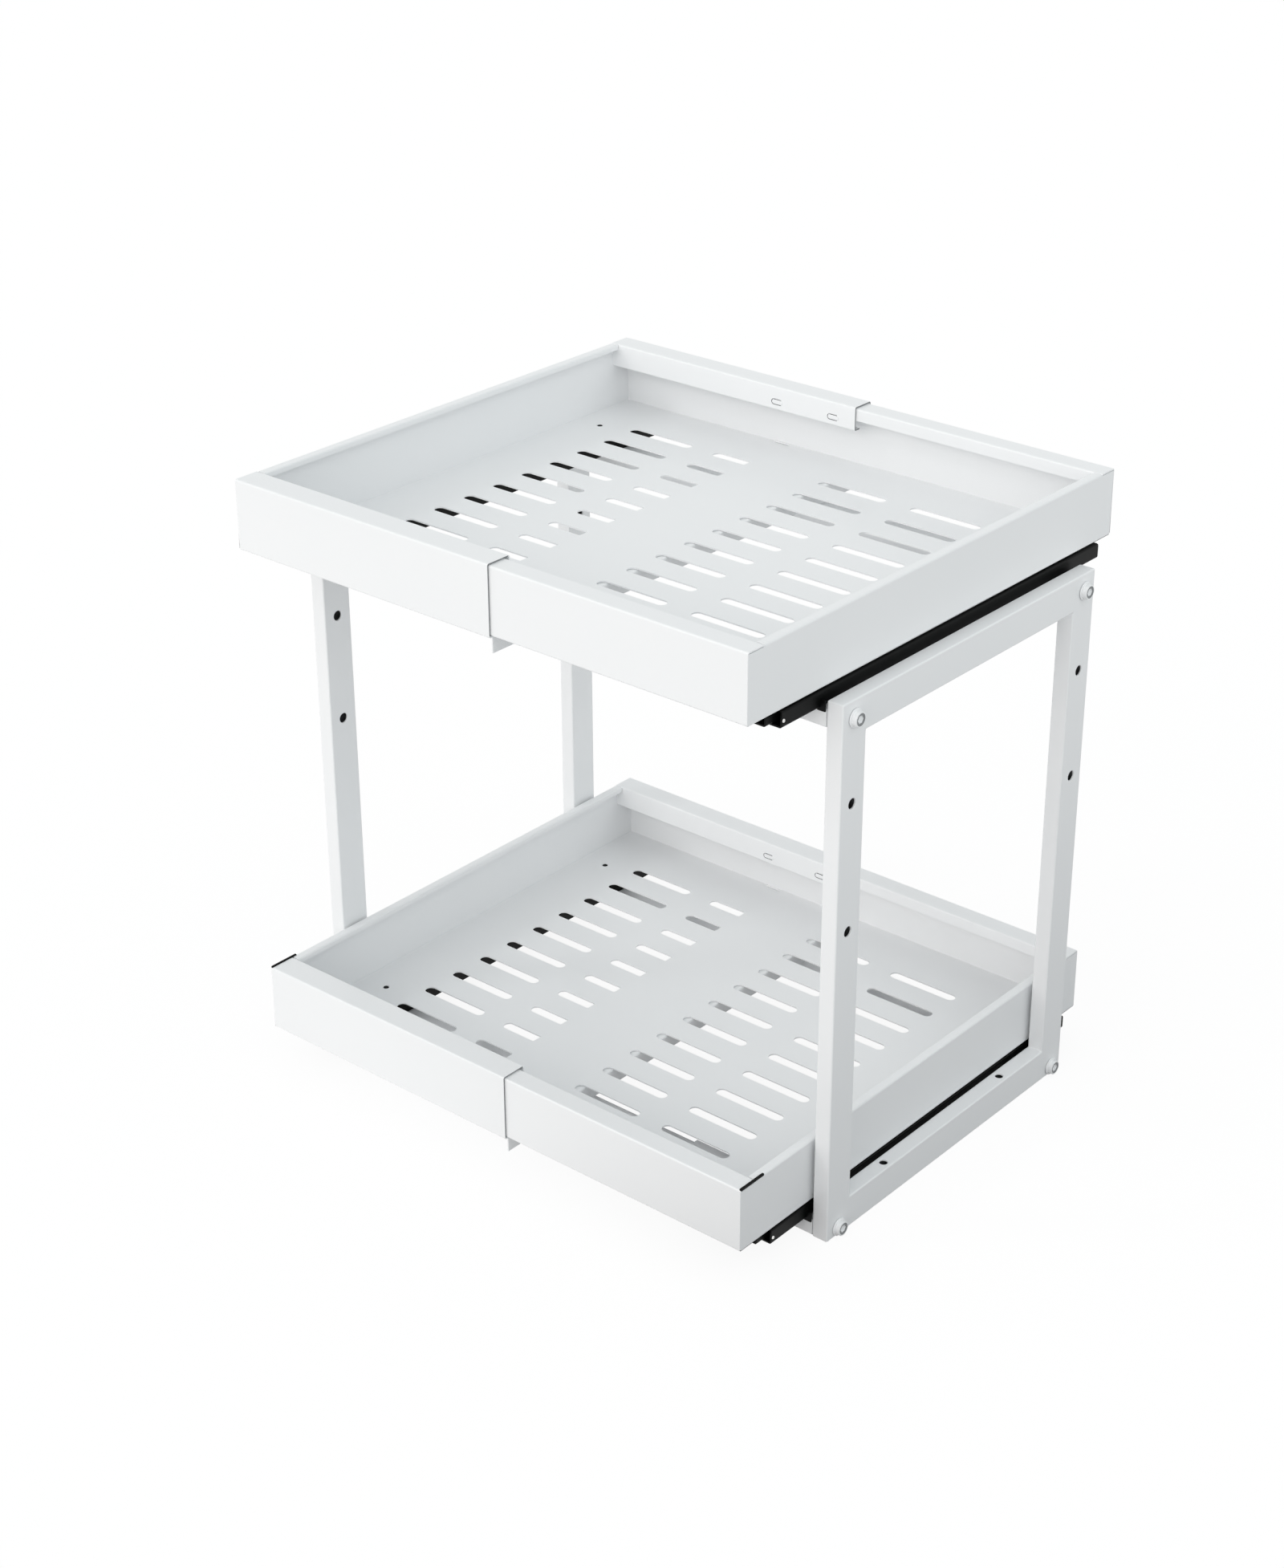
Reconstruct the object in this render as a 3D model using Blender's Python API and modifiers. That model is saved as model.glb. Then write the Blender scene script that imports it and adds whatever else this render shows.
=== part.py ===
"""Two-tier pull-out cabinet organizer: two welded side frames, telescoping cross bars, four
ball-bearing slides lying flat, and two sheet-metal trays, each made of two halves that slide
into each other so that the width can be set.

Metres, +Z up, +X to the right, +Y to the back. The origin is on the floor under the middle of
the trays. Run with: blender --background --python part.py
"""
import math

import bmesh
import bpy
from mathutils import Matrix, Vector

# Trays
TRAY_WIDTH = 0.440
TRAY_DEPTH = 0.405
TRAY_WALL = 0.051
SHEET = 0.0010
SHEET_BEND = 0.0016
NEST_GAP = 0.0003
LEFT_HALF_EDGE = 0.0125
HALVES_OVERLAP = 0.0695
LIP_REACH = 0.015
FLANGE = 0.0186
LEFT_FRONT_FLANGE = 0.0208
LEFT_LIP = 0.018
LEFT_LIP_RETURN = 0.006
RIGHT_LIP = 0.009
HEM = 0.007
HEM_LIP = 0.004
HEM_FUSE = 0.006
HEM_SEAM = 0.0004
DOWN_FLANGE = 0.011
DOWN_FLANGE_SETBACK = 0.003

# Drain slots in the tray floors
SLOT_LENGTH = 0.0588
SLOT_WIDTH = 0.0085
SLOT_PITCH = 0.03024
SLOT_ROWS_MARGIN = 0.0485
SLOT_ROWS_SHIFT = -0.0012
COLUMN_PITCH = 0.081
COLUMNS = 2
LEFT_FIRST_COLUMN = 0.0778
RIGHT_FIRST_COLUMN = 0.1025

# Lanced guides in the lips of the left half: two slits each, with a bridge between them
LANCE_LENGTH = 0.0106
LANCE_WIDTH = 0.0036
LANCE_SLIT = 0.0008
LANCE_DROP = 0.0118
LANCE_INSET = 0.0195
LANCE_PITCH = 0.0515
LANCES = 2

# Side frames, of rectangular tube
FRAME_HEIGHT = 0.400
FRAME_DEPTH = 0.286
FRAME_SETBACK = 0.0765
TUBE_FACE = 0.025
TUBE_THICKNESS = 0.0125
TUBE_WALL = 0.0012
TUBE_CORNER = 0.0012
SIDE_GAP = 0.0028
WELD_GAP = 0.0003
HIGH_HOLE_DROP = 0.072
LOW_HOLE_DROPS = (0.164, 0.153)
POST_HOLE_RADIUS = 0.00375
FLOOR_HOLE_RADIUS = 0.003
FLOOR_HOLE_PITCH = 0.142

# Cross bars: one outer tube on each side and an inner tube that slides in the left one
BAR_LIFT = 0.0008
BAR_END_WALL = 0.005
RIGHT_BAR_LENGTH = 0.120
BAR_STOP_GAP = 0.004
INSERT_GAP = 0.0003
INSERT_WALL = 0.0010
INSERT_GRIP = 0.060
INSERT_HOLD = 0.030
WIDTH_CLOSE = 0.120
WIDTH_OPEN = 0.040

# Ball-bearing slides, lying flat
SLIDE_EDGE_INSET = 0.0010
SLIDE_WIDTH = 0.045
SLIDE_THICKNESS = 0.0127
SLIDE_SETBACK = 0.0365
SLIDE_REAR_SETBACK = 0.0135
SLIDE_SHEET = 0.0012
SLIDE_BEND = 0.0018
SEAT_GAP = 0.0003
BASE_HEIGHT = 0.0118
BASE_LIP = 0.0035
MIDDLE_WIDTH = 0.036
MIDDLE_FLOOR = 0.0032
MIDDLE_TOP = 0.0100
MIDDLE_LIP = 0.0022
RUNNER_WIDTH = 0.026
RUNNER_BOTTOM = 0.0068
RUNNER_LIP = 0.0022
MEMBER_LEAD = 0.010
MIDDLE_REAR_STEP = 0.015
RUNNER_REAR_STEP = 0.013

# Ball cages of the slides
CAGE_SHEET = 0.0006
CAGE_LENGTH = 0.120
OUTER_CAGE_SETBACK = 0.100
INNER_CAGE_SETBACK = 0.105
CAGE_BALLS = 2
BALL_MARGIN = 0.020
BALL_GAP = 0.00025
OUTER_CAGE_FLOOR = 0.0018
OUTER_CAGE_TOP = 0.0085
OUTER_BALL_HEIGHT = 0.0060
INNER_CAGE_FLOOR = 0.0054
INNER_CAGE_TOP = 0.0088
INNER_BALL_HEIGHT = 0.0074

# Corner bolts
BOLT_RADIUS = 0.0030
BOLT_LENGTH = 0.0195
BOLT_CHAMFER = 0.0006
BOLT_FLANGE_RADIUS = 0.0066
BOLT_FLANGE = 0.0012
BOLT_HEAD_RADIUS = 0.0053
BOLT_HEAD = 0.0032
BOLT_SOCKET = 0.0050
BOLT_SOCKET_DEPTH = 0.0025
BOLT_GAP = 0.0003

# Screws that hold the trays on the slide runners, put in from below
SCREW_RADIUS = 0.0019
SCREW_HEAD_RADIUS = 0.0031
SCREW_HEAD = 0.0014
SCREW_CHAMFER = 0.0004
SCREW_GAP = 0.0003
FRONT_SCREW_SETBACK = 0.092
REAR_SCREW_SETBACK = 0.060
BOSS_RADIUS = 0.0060
BOSS_SPREAD = 0.0020

# Modelling values
OVERRUN = 0.002
BEND_STEPS = 2
CORNER_STEPS = 1
SLOT_END_STEPS = 3
TURN_STEPS = 12
SCREW_STEPS = 10
HOLE_STEPS = 12
BALL_STEPS = 6
BALL_RINGS = 4
BOSS_STEPS = 12
HEX_SIDES = 6
MERGE = 0.00001
PARALLEL_SHARE = 0.99

# Places worked out from the sizes
HALF_WIDTH = TRAY_WIDTH / 2
HALF_DEPTH = TRAY_DEPTH / 2
NEST = SHEET + NEST_GAP
RIGHT_HALF_EDGE = LEFT_HALF_EDGE - HALVES_OVERLAP
FRAME_INNER = HALF_WIDTH + SIDE_GAP
FRAME_X = FRAME_INNER + TUBE_THICKNESS / 2
FRAME_FRONT = FRAME_SETBACK - HALF_DEPTH
FRAME_Y = FRAME_FRONT + FRAME_DEPTH / 2
POST_REACH = (FRAME_DEPTH - TUBE_FACE) / 2
UPPER_BAR_Z = FRAME_HEIGHT - TUBE_FACE / 2
LOWER_BAR_Z = BAR_LIFT + TUBE_THICKNESS / 2
TIERS = {"upper": UPPER_BAR_Z, "lower": LOWER_BAR_Z}
BAR_SPAN = 2 * (FRAME_INNER - SEAT_GAP)
BAR_OPENING = WIDTH_CLOSE + BAR_STOP_GAP
LEFT_BAR_LENGTH = BAR_SPAN - BAR_OPENING - RIGHT_BAR_LENGTH
RIGHT_BAR_END = BAR_SPAN / 2 - RIGHT_BAR_LENGTH
INSERT_LENGTH = INSERT_GRIP + BAR_OPENING + WIDTH_OPEN + INSERT_HOLD
SLIDE_CENTRE = HALF_WIDTH - SLIDE_EDGE_INSET - SLIDE_WIDTH / 2
SLIDE_FRONT = SLIDE_SETBACK - HALF_DEPTH
SLIDE_LENGTH = TRAY_DEPTH - SLIDE_SETBACK - SLIDE_REAR_SETBACK
MIDDLE_LENGTH = SLIDE_LENGTH + MEMBER_LEAD - MIDDLE_REAR_STEP
RUNNER_LENGTH = SLIDE_LENGTH + MEMBER_LEAD - RUNNER_REAR_STEP
SCREW_PLACES = (FRONT_SCREW_SETBACK - HALF_DEPTH, HALF_DEPTH - REAR_SCREW_SETBACK)
SLOT_ROWS = int((TRAY_DEPTH - 2 * SLOT_ROWS_MARGIN) / SLOT_PITCH) + 1
SIDES = {"left": -1, "right": 1}


def slide_z(bar_z):
    """Height of a slide's underside, on a bar whose centre is at bar_z."""
    return bar_z + TUBE_THICKNESS / 2 + SEAT_GAP


def tray_z(bar_z):
    """Height of a tray's underside, on its slides."""
    return slide_z(bar_z) + SLIDE_THICKNESS + SEAT_GAP


# Scene, collections and materials

def clear_scene():
    for item in list(bpy.data.objects):
        bpy.data.objects.remove(item, do_unlink=True)


def new_collection(name):
    collection = bpy.data.collections.new(name)
    bpy.context.scene.collection.children.link(collection)
    return collection


def new_material(name, colour, roughness, metallic):
    material = bpy.data.materials.new(name)
    material.use_nodes = True
    shader = material.node_tree.nodes["Principled BSDF"]
    shader.inputs["Base Color"].default_value = (*colour, 1.0)
    shader.inputs["Roughness"].default_value = roughness
    shader.inputs["Metallic"].default_value = metallic
    material.diffuse_color = (*colour, 1.0)
    return material


clear_scene()
PARTS = new_collection("cabinet_organizer")
CUTTERS = new_collection("cutters")
WHITE = new_material("white_powder_coat", (0.86, 0.87, 0.88), 0.40, 0.0)
BLACK = new_material("black_slide_steel", (0.012, 0.013, 0.013), 0.32, 0.3)
STEEL = new_material("bright_bearing_steel", (0.72, 0.72, 0.70), 0.22, 1.0)


def carrier(name, place):
    """An empty that carries the pieces of one moving body."""
    empty = bpy.data.objects.new(name, None)
    empty.location = place
    PARTS.objects.link(empty)
    return empty


def add_part(name, mesh, material, body, place, turn=(0.0, 0.0, 0.0)):
    """A named piece with its own material, parented to its body's empty."""
    if not mesh.materials:
        mesh.materials.append(material)
    part = bpy.data.objects.new(name, mesh)
    part.parent = body
    part.location = Vector(place) - body.location
    part.rotation_euler = turn
    PARTS.objects.link(part)
    return part


def add_helper(part, mesh, operation, suffix):
    """A Boolean modifier whose second solid lies in the part's own coordinates."""
    helper = bpy.data.objects.new(part.name + "_" + suffix, mesh)
    helper.parent = part
    helper.hide_render = True
    helper.display_type = "WIRE"
    CUTTERS.objects.link(helper)
    modifier = part.modifiers.new(suffix, "BOOLEAN")
    modifier.operation = operation
    modifier.solver = "EXACT"
    modifier.object = helper
    return helper


def cut(part, mesh, suffix):
    return add_helper(part, mesh, "DIFFERENCE", suffix)


def join(part, mesh, suffix):
    return add_helper(part, mesh, "UNION", suffix)


def thicken(item, thickness):
    """Gives an open folded surface its wall, behind its outer face."""
    solidify = item.modifiers.new("wall", "SOLIDIFY")
    solidify.thickness = thickness
    solidify.offset = -1.0
    solidify.use_even_offset = True


# Meshes

def finish(bm, name):
    mesh = bpy.data.meshes.new(name)
    bm.to_mesh(mesh)
    bm.free()
    return mesh


def add_box(bm, low, high):
    """A box from its lowest to its highest corner."""
    size = Vector(high) - Vector(low)
    made = bmesh.ops.create_cube(bm, size=1.0)["verts"]
    bmesh.ops.scale(bm, vec=size, verts=made)
    bmesh.ops.translate(bm, vec=(Vector(high) + Vector(low)) / 2, verts=made)
    return made


def box_mesh(name, low, high):
    bm = bmesh.new()
    add_box(bm, low, high)
    return finish(bm, name)


def bar_mesh(name, low, high, corner, axis):
    """A box whose edges along one axis are rounded, as on drawn tube."""
    bm = bmesh.new()
    add_box(bm, low, high)
    long_edges = [edge for edge in bm.edges
                  if abs((edge.verts[1].co - edge.verts[0].co).normalized()[axis]) > PARALLEL_SHARE]
    bmesh.ops.bevel(bm, geom=long_edges, offset=corner, offset_type="OFFSET", segments=CORNER_STEPS,
                    profile=0.5, affect="EDGES")
    return finish(bm, name)


def add_cylinder(bm, radius, start, end, steps, end_radius=None):
    """A closed cylinder or cone from one point to another."""
    start = Vector(start)
    along = Vector(end) - start
    turn = Vector((0.0, 0.0, 1.0)).rotation_difference(along).to_matrix().to_4x4()
    place = Matrix.Translation(start + along / 2) @ turn
    bmesh.ops.create_cone(bm, cap_ends=True, segments=steps, radius1=radius,
                          radius2=radius if end_radius is None else end_radius,
                          depth=along.length, matrix=place)


def rounded(points, radius, steps):
    """The same open outline with an arc of the given radius at each inner corner."""
    out = [Vector(points[0])]
    for before, here, after in zip(points, points[1:], points[2:]):
        here = Vector(here)
        back = (Vector(before) - here).normalized()
        ahead = (Vector(after) - here).normalized()
        half_angle = back.angle(ahead) / 2
        centre = here + (back + ahead).normalized() * (radius / math.sin(half_angle))
        first = here + back * (radius / math.tan(half_angle)) - centre
        last = here + ahead * (radius / math.tan(half_angle)) - centre
        sweep = math.atan2(first.x * last.y - first.y * last.x, first.dot(last))
        for step in range(steps + 1):
            turn = Matrix.Rotation(sweep * step / steps, 2)
            out.append(centre + turn @ first)
    out.append(Vector(points[-1]))
    return out


def folded_mesh(name, outline, start, end, along_x):
    """An open sheet: an outline swept from start to end. The outline is (Y, Z) when it is swept
    along X, and (X, Z) when it is swept along Y, and its outer face is on its right."""
    bm = bmesh.new()
    if along_x:
        points = [Vector((start, y, z)) for y, z in outline]
        sweep = Vector((end - start, 0.0, 0.0))
    else:
        points = [Vector((x, start, z)) for x, z in outline]
        sweep = Vector((0.0, end - start, 0.0))
    verts = [bm.verts.new(point) for point in points]
    edges = [bm.edges.new(pair) for pair in zip(verts, verts[1:])]
    swept = bmesh.ops.extrude_edge_only(bm, edges=edges)["geom"]
    moved = [item for item in swept if isinstance(item, bmesh.types.BMVert)]
    bmesh.ops.translate(bm, vec=sweep, verts=moved)
    bm.normal_update()
    first_face = min(bm.faces, key=lambda face: face.calc_center_median().z)
    if first_face.normal.z > 0.0:
        bmesh.ops.reverse_faces(bm, faces=bm.faces[:])
    return finish(bm, name)


def plate_mesh(name, outline, low, high, axis):
    """A flat plate: a closed outline, thickened from low to high along X, Y or Z."""
    bm = bmesh.new()
    others = [index for index in range(3) if index != axis]
    verts = []
    for first, second in outline:
        point = Vector((0.0, 0.0, 0.0))
        point[axis] = low
        point[others[0]] = first
        point[others[1]] = second
        verts.append(bm.verts.new(point))
    face = bm.faces.new(verts)
    grown = bmesh.ops.extrude_face_region(bm, geom=[face])["geom"]
    step = Vector((0.0, 0.0, 0.0))
    step[axis] = high - low
    bmesh.ops.translate(bm, vec=step, verts=[item for item in grown if isinstance(item, bmesh.types.BMVert)])
    bmesh.ops.recalc_face_normals(bm, faces=bm.faces[:])
    return finish(bm, name)


def slot_outline(length, width, centre):
    """A slot with round ends, along the outline's first axis."""
    radius = width / 2
    reach = length / 2 - radius
    points = []
    for end in (1, -1):
        for step in range(SLOT_END_STEPS + 1):
            angle = math.pi * (step / SLOT_END_STEPS - end / 2)
            points.append((centre[0] + end * reach + radius * math.cos(angle),
                           centre[1] + radius * math.sin(angle)))
    return points


def merge_meshes(name, meshes):
    """Puts several separate solids in one mesh, for one cut."""
    bm = bmesh.new()
    for mesh in meshes:
        bm.from_mesh(mesh)
        bpy.data.meshes.remove(mesh)
    return finish(bm, name)


def turned_mesh(name, profile):
    """The outline of a turned piece, in the XZ plane, for a Screw modifier."""
    bm = bmesh.new()
    verts = [bm.verts.new((radius, 0.0, height)) for radius, height in profile]
    for pair in zip(verts, verts[1:]):
        bm.edges.new(pair)
    return finish(bm, name)


def turn_profile(part, steps):
    screw = part.modifiers.new("turned", "SCREW")
    screw.steps = steps
    screw.render_steps = steps
    screw.use_merge_vertices = True
    screw.merge_threshold = MERGE
    screw.use_smooth_shade = True


# Bodies that move

right_side = carrier("right_side", (0.0, FRAME_Y, 0.0))
left_side = carrier("left_side", (0.0, FRAME_Y, 0.0))
side_bodies = {"left": left_side, "right": right_side}
tray_bodies = {}
middle_bodies = {}
outer_cage_bodies = {}
inner_cage_bodies = {}
for tier, bar_z in TIERS.items():
    for side, sign in SIDES.items():
        spot = (sign * SLIDE_CENTRE, SLIDE_FRONT, slide_z(bar_z))
        tray_bodies[tier, side] = carrier(f"{tier}_{side}_tray_body", spot)
        middle_bodies[tier, side] = carrier(f"{tier}_{side}_middle_body", spot)
        outer_cage_bodies[tier, side] = carrier(f"{tier}_{side}_outer_cage_body", spot)
        inner_cage_bodies[tier, side] = carrier(f"{tier}_{side}_inner_cage_body", spot)


# Side frames. The left frame is the right one turned half round.

def side_place(sign, x, y, z):
    """A place on the right frame, or the same place on the turned left one."""
    return (sign * x, FRAME_Y + sign * y, z)


def side_turn(sign):
    return (0.0, 0.0, 0.0 if sign > 0 else math.pi)


def hollow(part, low, high, axis, open_ends):
    """Cuts the bore of a rectangular tube, through the ends that are open."""
    inner_low = Vector(low) + Vector((TUBE_WALL, TUBE_WALL, TUBE_WALL))
    inner_high = Vector(high) - Vector((TUBE_WALL, TUBE_WALL, TUBE_WALL))
    if open_ends[0]:
        inner_low[axis] = low[axis] - OVERRUN
    if open_ends[1]:
        inner_high[axis] = high[axis] + OVERRUN
    cut(part, box_mesh("bore", inner_low, inner_high), "bore")


def hole_mesh(radius, places, axis, reach):
    """Round holes through a tube, along X or Z."""
    step = Vector((0.0, 0.0, 0.0))
    step[axis] = reach
    bm = bmesh.new()
    for place in places:
        add_cylinder(bm, radius, Vector(place) - step, Vector(place) + step, HOLE_STEPS)
    return finish(bm, "holes")


def make_rail(side, sign, level):
    """A top or bottom rail, closed at its ends, which holds the cross bars' bolts."""
    half = Vector((TUBE_THICKNESS / 2, FRAME_DEPTH / 2, TUBE_FACE / 2))
    z = FRAME_HEIGHT - TUBE_FACE / 2 if level == "top" else TUBE_FACE / 2
    bolt_z = (UPPER_BAR_Z if level == "top" else LOWER_BAR_Z) - z
    rail = add_part(f"{side}_{level}_rail", bar_mesh("rail", -half, half, TUBE_CORNER, 1), WHITE,
                    side_bodies[side], side_place(sign, FRAME_X, 0.0, z), side_turn(sign))
    hollow(rail, -half, half, 1, (False, False))
    bolts = [(0.0, end * POST_REACH, bolt_z) for end in (-1, 1)]
    reach = TUBE_THICKNESS / 2 + OVERRUN
    cut(rail, hole_mesh(BOLT_RADIUS + BOLT_GAP, bolts, 0, reach), "bolt_holes")
    if level == "bottom":
        screws = [(0.0, end * FLOOR_HOLE_PITCH / 2, 0.0) for end in (-1, 1)]
        cut(rail, hole_mesh(FLOOR_HOLE_RADIUS, screws, 2, TUBE_FACE / 2 + OVERRUN), "floor_holes")


def make_post(side, sign, end):
    """A post between the two rails, with its two spare holes. end is -1 for the post that is at
    the front on the right frame, and at the back on the turned left one."""
    tall = FRAME_HEIGHT - 2 * TUBE_FACE - 2 * WELD_GAP
    half = Vector((TUBE_THICKNESS / 2, TUBE_FACE / 2, tall / 2))
    place_name = "front" if end * sign < 0 else "back"
    middle = FRAME_HEIGHT / 2
    post = add_part(f"{side}_{place_name}_post", bar_mesh("post", -half, half, TUBE_CORNER, 2), WHITE,
                    side_bodies[side], side_place(sign, FRAME_X, end * POST_REACH, middle), side_turn(sign))
    hollow(post, -half, half, 2, (True, True))
    low_drop = LOW_HOLE_DROPS[0] if end < 0 else LOW_HOLE_DROPS[1]
    holes = [(0.0, 0.0, middle - drop) for drop in (HIGH_HOLE_DROP, low_drop)]
    cut(post, hole_mesh(POST_HOLE_RADIUS, holes, 0, TUBE_THICKNESS / 2 + OVERRUN), "spare_holes")


def bolt_mesh():
    """A flanged cap bolt along +Z: the flange's underside is at zero."""
    return turned_mesh("bolt", [
        (0.0, BOLT_FLANGE + BOLT_HEAD),
        (BOLT_HEAD_RADIUS - BOLT_CHAMFER, BOLT_FLANGE + BOLT_HEAD),
        (BOLT_HEAD_RADIUS, BOLT_FLANGE + BOLT_HEAD - BOLT_CHAMFER),
        (BOLT_HEAD_RADIUS, BOLT_FLANGE),
        (BOLT_FLANGE_RADIUS, BOLT_FLANGE),
        (BOLT_FLANGE_RADIUS, 0.0),
        (BOLT_RADIUS, 0.0),
        (BOLT_RADIUS, BOLT_CHAMFER - BOLT_LENGTH),
        (BOLT_RADIUS - BOLT_CHAMFER, -BOLT_LENGTH),
        (0.0, -BOLT_LENGTH),
    ])


def socket_mesh():
    bm = bmesh.new()
    top = BOLT_FLANGE + BOLT_HEAD
    corner_radius = BOLT_SOCKET / 2 / math.cos(math.pi / HEX_SIDES)
    add_cylinder(bm, corner_radius, (0.0, 0.0, top - BOLT_SOCKET_DEPTH), (0.0, 0.0, top + OVERRUN),
                 HEX_SIDES)
    return finish(bm, "socket")


def make_bolt(side, sign, tier, bar_z, end, mesh):
    place_name = "front" if end < 0 else "back"
    x = sign * (FRAME_INNER + TUBE_THICKNESS + SEAT_GAP)
    bolt = add_part(f"{tier}_{side}_{place_name}_bolt", mesh, WHITE, side_bodies[side],
                    (x, FRAME_Y + end * POST_REACH, bar_z), (0.0, sign * math.pi / 2, 0.0))
    turn_profile(bolt, TURN_STEPS)
    cut(bolt, socket_mesh(), "socket")


for side, sign in SIDES.items():
    for level in ("top", "bottom"):
        make_rail(side, sign, level)
    for end in (-1, 1):
        make_post(side, sign, end)
shared_bolt = bolt_mesh()
for tier, bar_z in TIERS.items():
    for side, sign in SIDES.items():
        for end in (-1, 1):
            make_bolt(side, sign, tier, bar_z, end, shared_bolt)


# Cross bars

def make_bar(tier, bar_z, end, side, sign, length):
    """An outer tube, bolted to a rail through its end wall and open towards the middle."""
    place_name = "front" if end < 0 else "back"
    low = Vector((-length, -TUBE_FACE / 2, -TUBE_THICKNESS / 2))
    high = Vector((0.0, TUBE_FACE / 2, TUBE_THICKNESS / 2))
    place = (sign * BAR_SPAN / 2, FRAME_Y + end * POST_REACH, bar_z)
    bar = add_part(f"{tier}_{place_name}_bar_{side}", bar_mesh("bar", low, high, TUBE_CORNER, 0), WHITE,
                   side_bodies[side], place, side_turn(sign))
    inner_low = (low.x - OVERRUN, low.y + TUBE_WALL, low.z + TUBE_WALL)
    inner_high = (-BAR_END_WALL, high.y - TUBE_WALL, high.z - TUBE_WALL)
    cut(bar, box_mesh("bore", inner_low, inner_high), "bore")
    cut(bar, hole_mesh(BOLT_RADIUS + BOLT_GAP, [(-BAR_END_WALL / 2, 0.0, 0.0)], 0, BAR_END_WALL), "thread")


def make_insert(tier, bar_z, end):
    """The inner tube: held in the right bar, sliding in the left one."""
    place_name = "front" if end < 0 else "back"
    shrink = TUBE_WALL + INSERT_GAP
    half_face = TUBE_FACE / 2 - shrink
    half_thick = TUBE_THICKNESS / 2 - shrink
    low = Vector((-INSERT_LENGTH, -half_face, -half_thick))
    high = Vector((0.0, half_face, half_thick))
    insert = add_part(f"{tier}_{place_name}_bar_insert", bar_mesh("insert", low, high, TUBE_CORNER, 0),
                      WHITE, right_side, (RIGHT_BAR_END + INSERT_GRIP, FRAME_Y + end * POST_REACH, bar_z))
    inner_low = (low.x - OVERRUN, low.y + INSERT_WALL, low.z + INSERT_WALL)
    inner_high = (OVERRUN, high.y - INSERT_WALL, high.z - INSERT_WALL)
    cut(insert, box_mesh("bore", inner_low, inner_high), "bore")


for tier, bar_z in TIERS.items():
    for end in (-1, 1):
        make_bar(tier, bar_z, end, "right", 1, RIGHT_BAR_LENGTH)
        make_bar(tier, bar_z, end, "left", -1, LEFT_BAR_LENGTH)
        make_insert(tier, bar_z, end)


# Slides

def base_outline():
    half = SLIDE_WIDTH / 2
    return rounded([(BASE_LIP - half, BASE_HEIGHT), (-half, BASE_HEIGHT), (-half, 0.0), (half, 0.0),
                    (half, BASE_HEIGHT), (half - BASE_LIP, BASE_HEIGHT)], SLIDE_BEND, BEND_STEPS)


def middle_outline():
    half = MIDDLE_WIDTH / 2
    return rounded([(MIDDLE_LIP - half, MIDDLE_TOP), (-half, MIDDLE_TOP), (-half, MIDDLE_FLOOR),
                    (half, MIDDLE_FLOOR), (half, MIDDLE_TOP), (half - MIDDLE_LIP, MIDDLE_TOP)],
                   SLIDE_BEND, BEND_STEPS)


def runner_outline():
    half = RUNNER_WIDTH / 2
    return rounded([(half - RUNNER_LIP, RUNNER_BOTTOM), (half, RUNNER_BOTTOM), (half, SLIDE_THICKNESS),
                    (-half, SLIDE_THICKNESS), (-half, RUNNER_BOTTOM), (RUNNER_LIP - half, RUNNER_BOTTOM)],
                   SLIDE_BEND, BEND_STEPS)


def make_cage(name, body, place, half_width, floor_z, top_z, ball_z, ball_radius):
    """A strip bent round the inner member, with a row of balls in each of its sides."""
    outline = [(-half_width, top_z), (-half_width, floor_z), (half_width, floor_z), (half_width, top_z)]
    cage = add_part(name, folded_mesh("cage", outline, 0.0, CAGE_LENGTH, False), STEEL, body, place)
    thicken(cage, CAGE_SHEET)
    pitch = (CAGE_LENGTH - 2 * BALL_MARGIN) / (CAGE_BALLS - 1)
    bm = bmesh.new()
    for sign in (-1, 1):
        for index in range(CAGE_BALLS):
            spot = (sign * (half_width - CAGE_SHEET / 2), BALL_MARGIN + index * pitch, ball_z)
            bmesh.ops.create_uvsphere(bm, u_segments=BALL_STEPS, v_segments=BALL_RINGS, radius=ball_radius,
                                      matrix=Matrix.Translation(spot))
    join(cage, finish(bm, "balls"), "balls")


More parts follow.
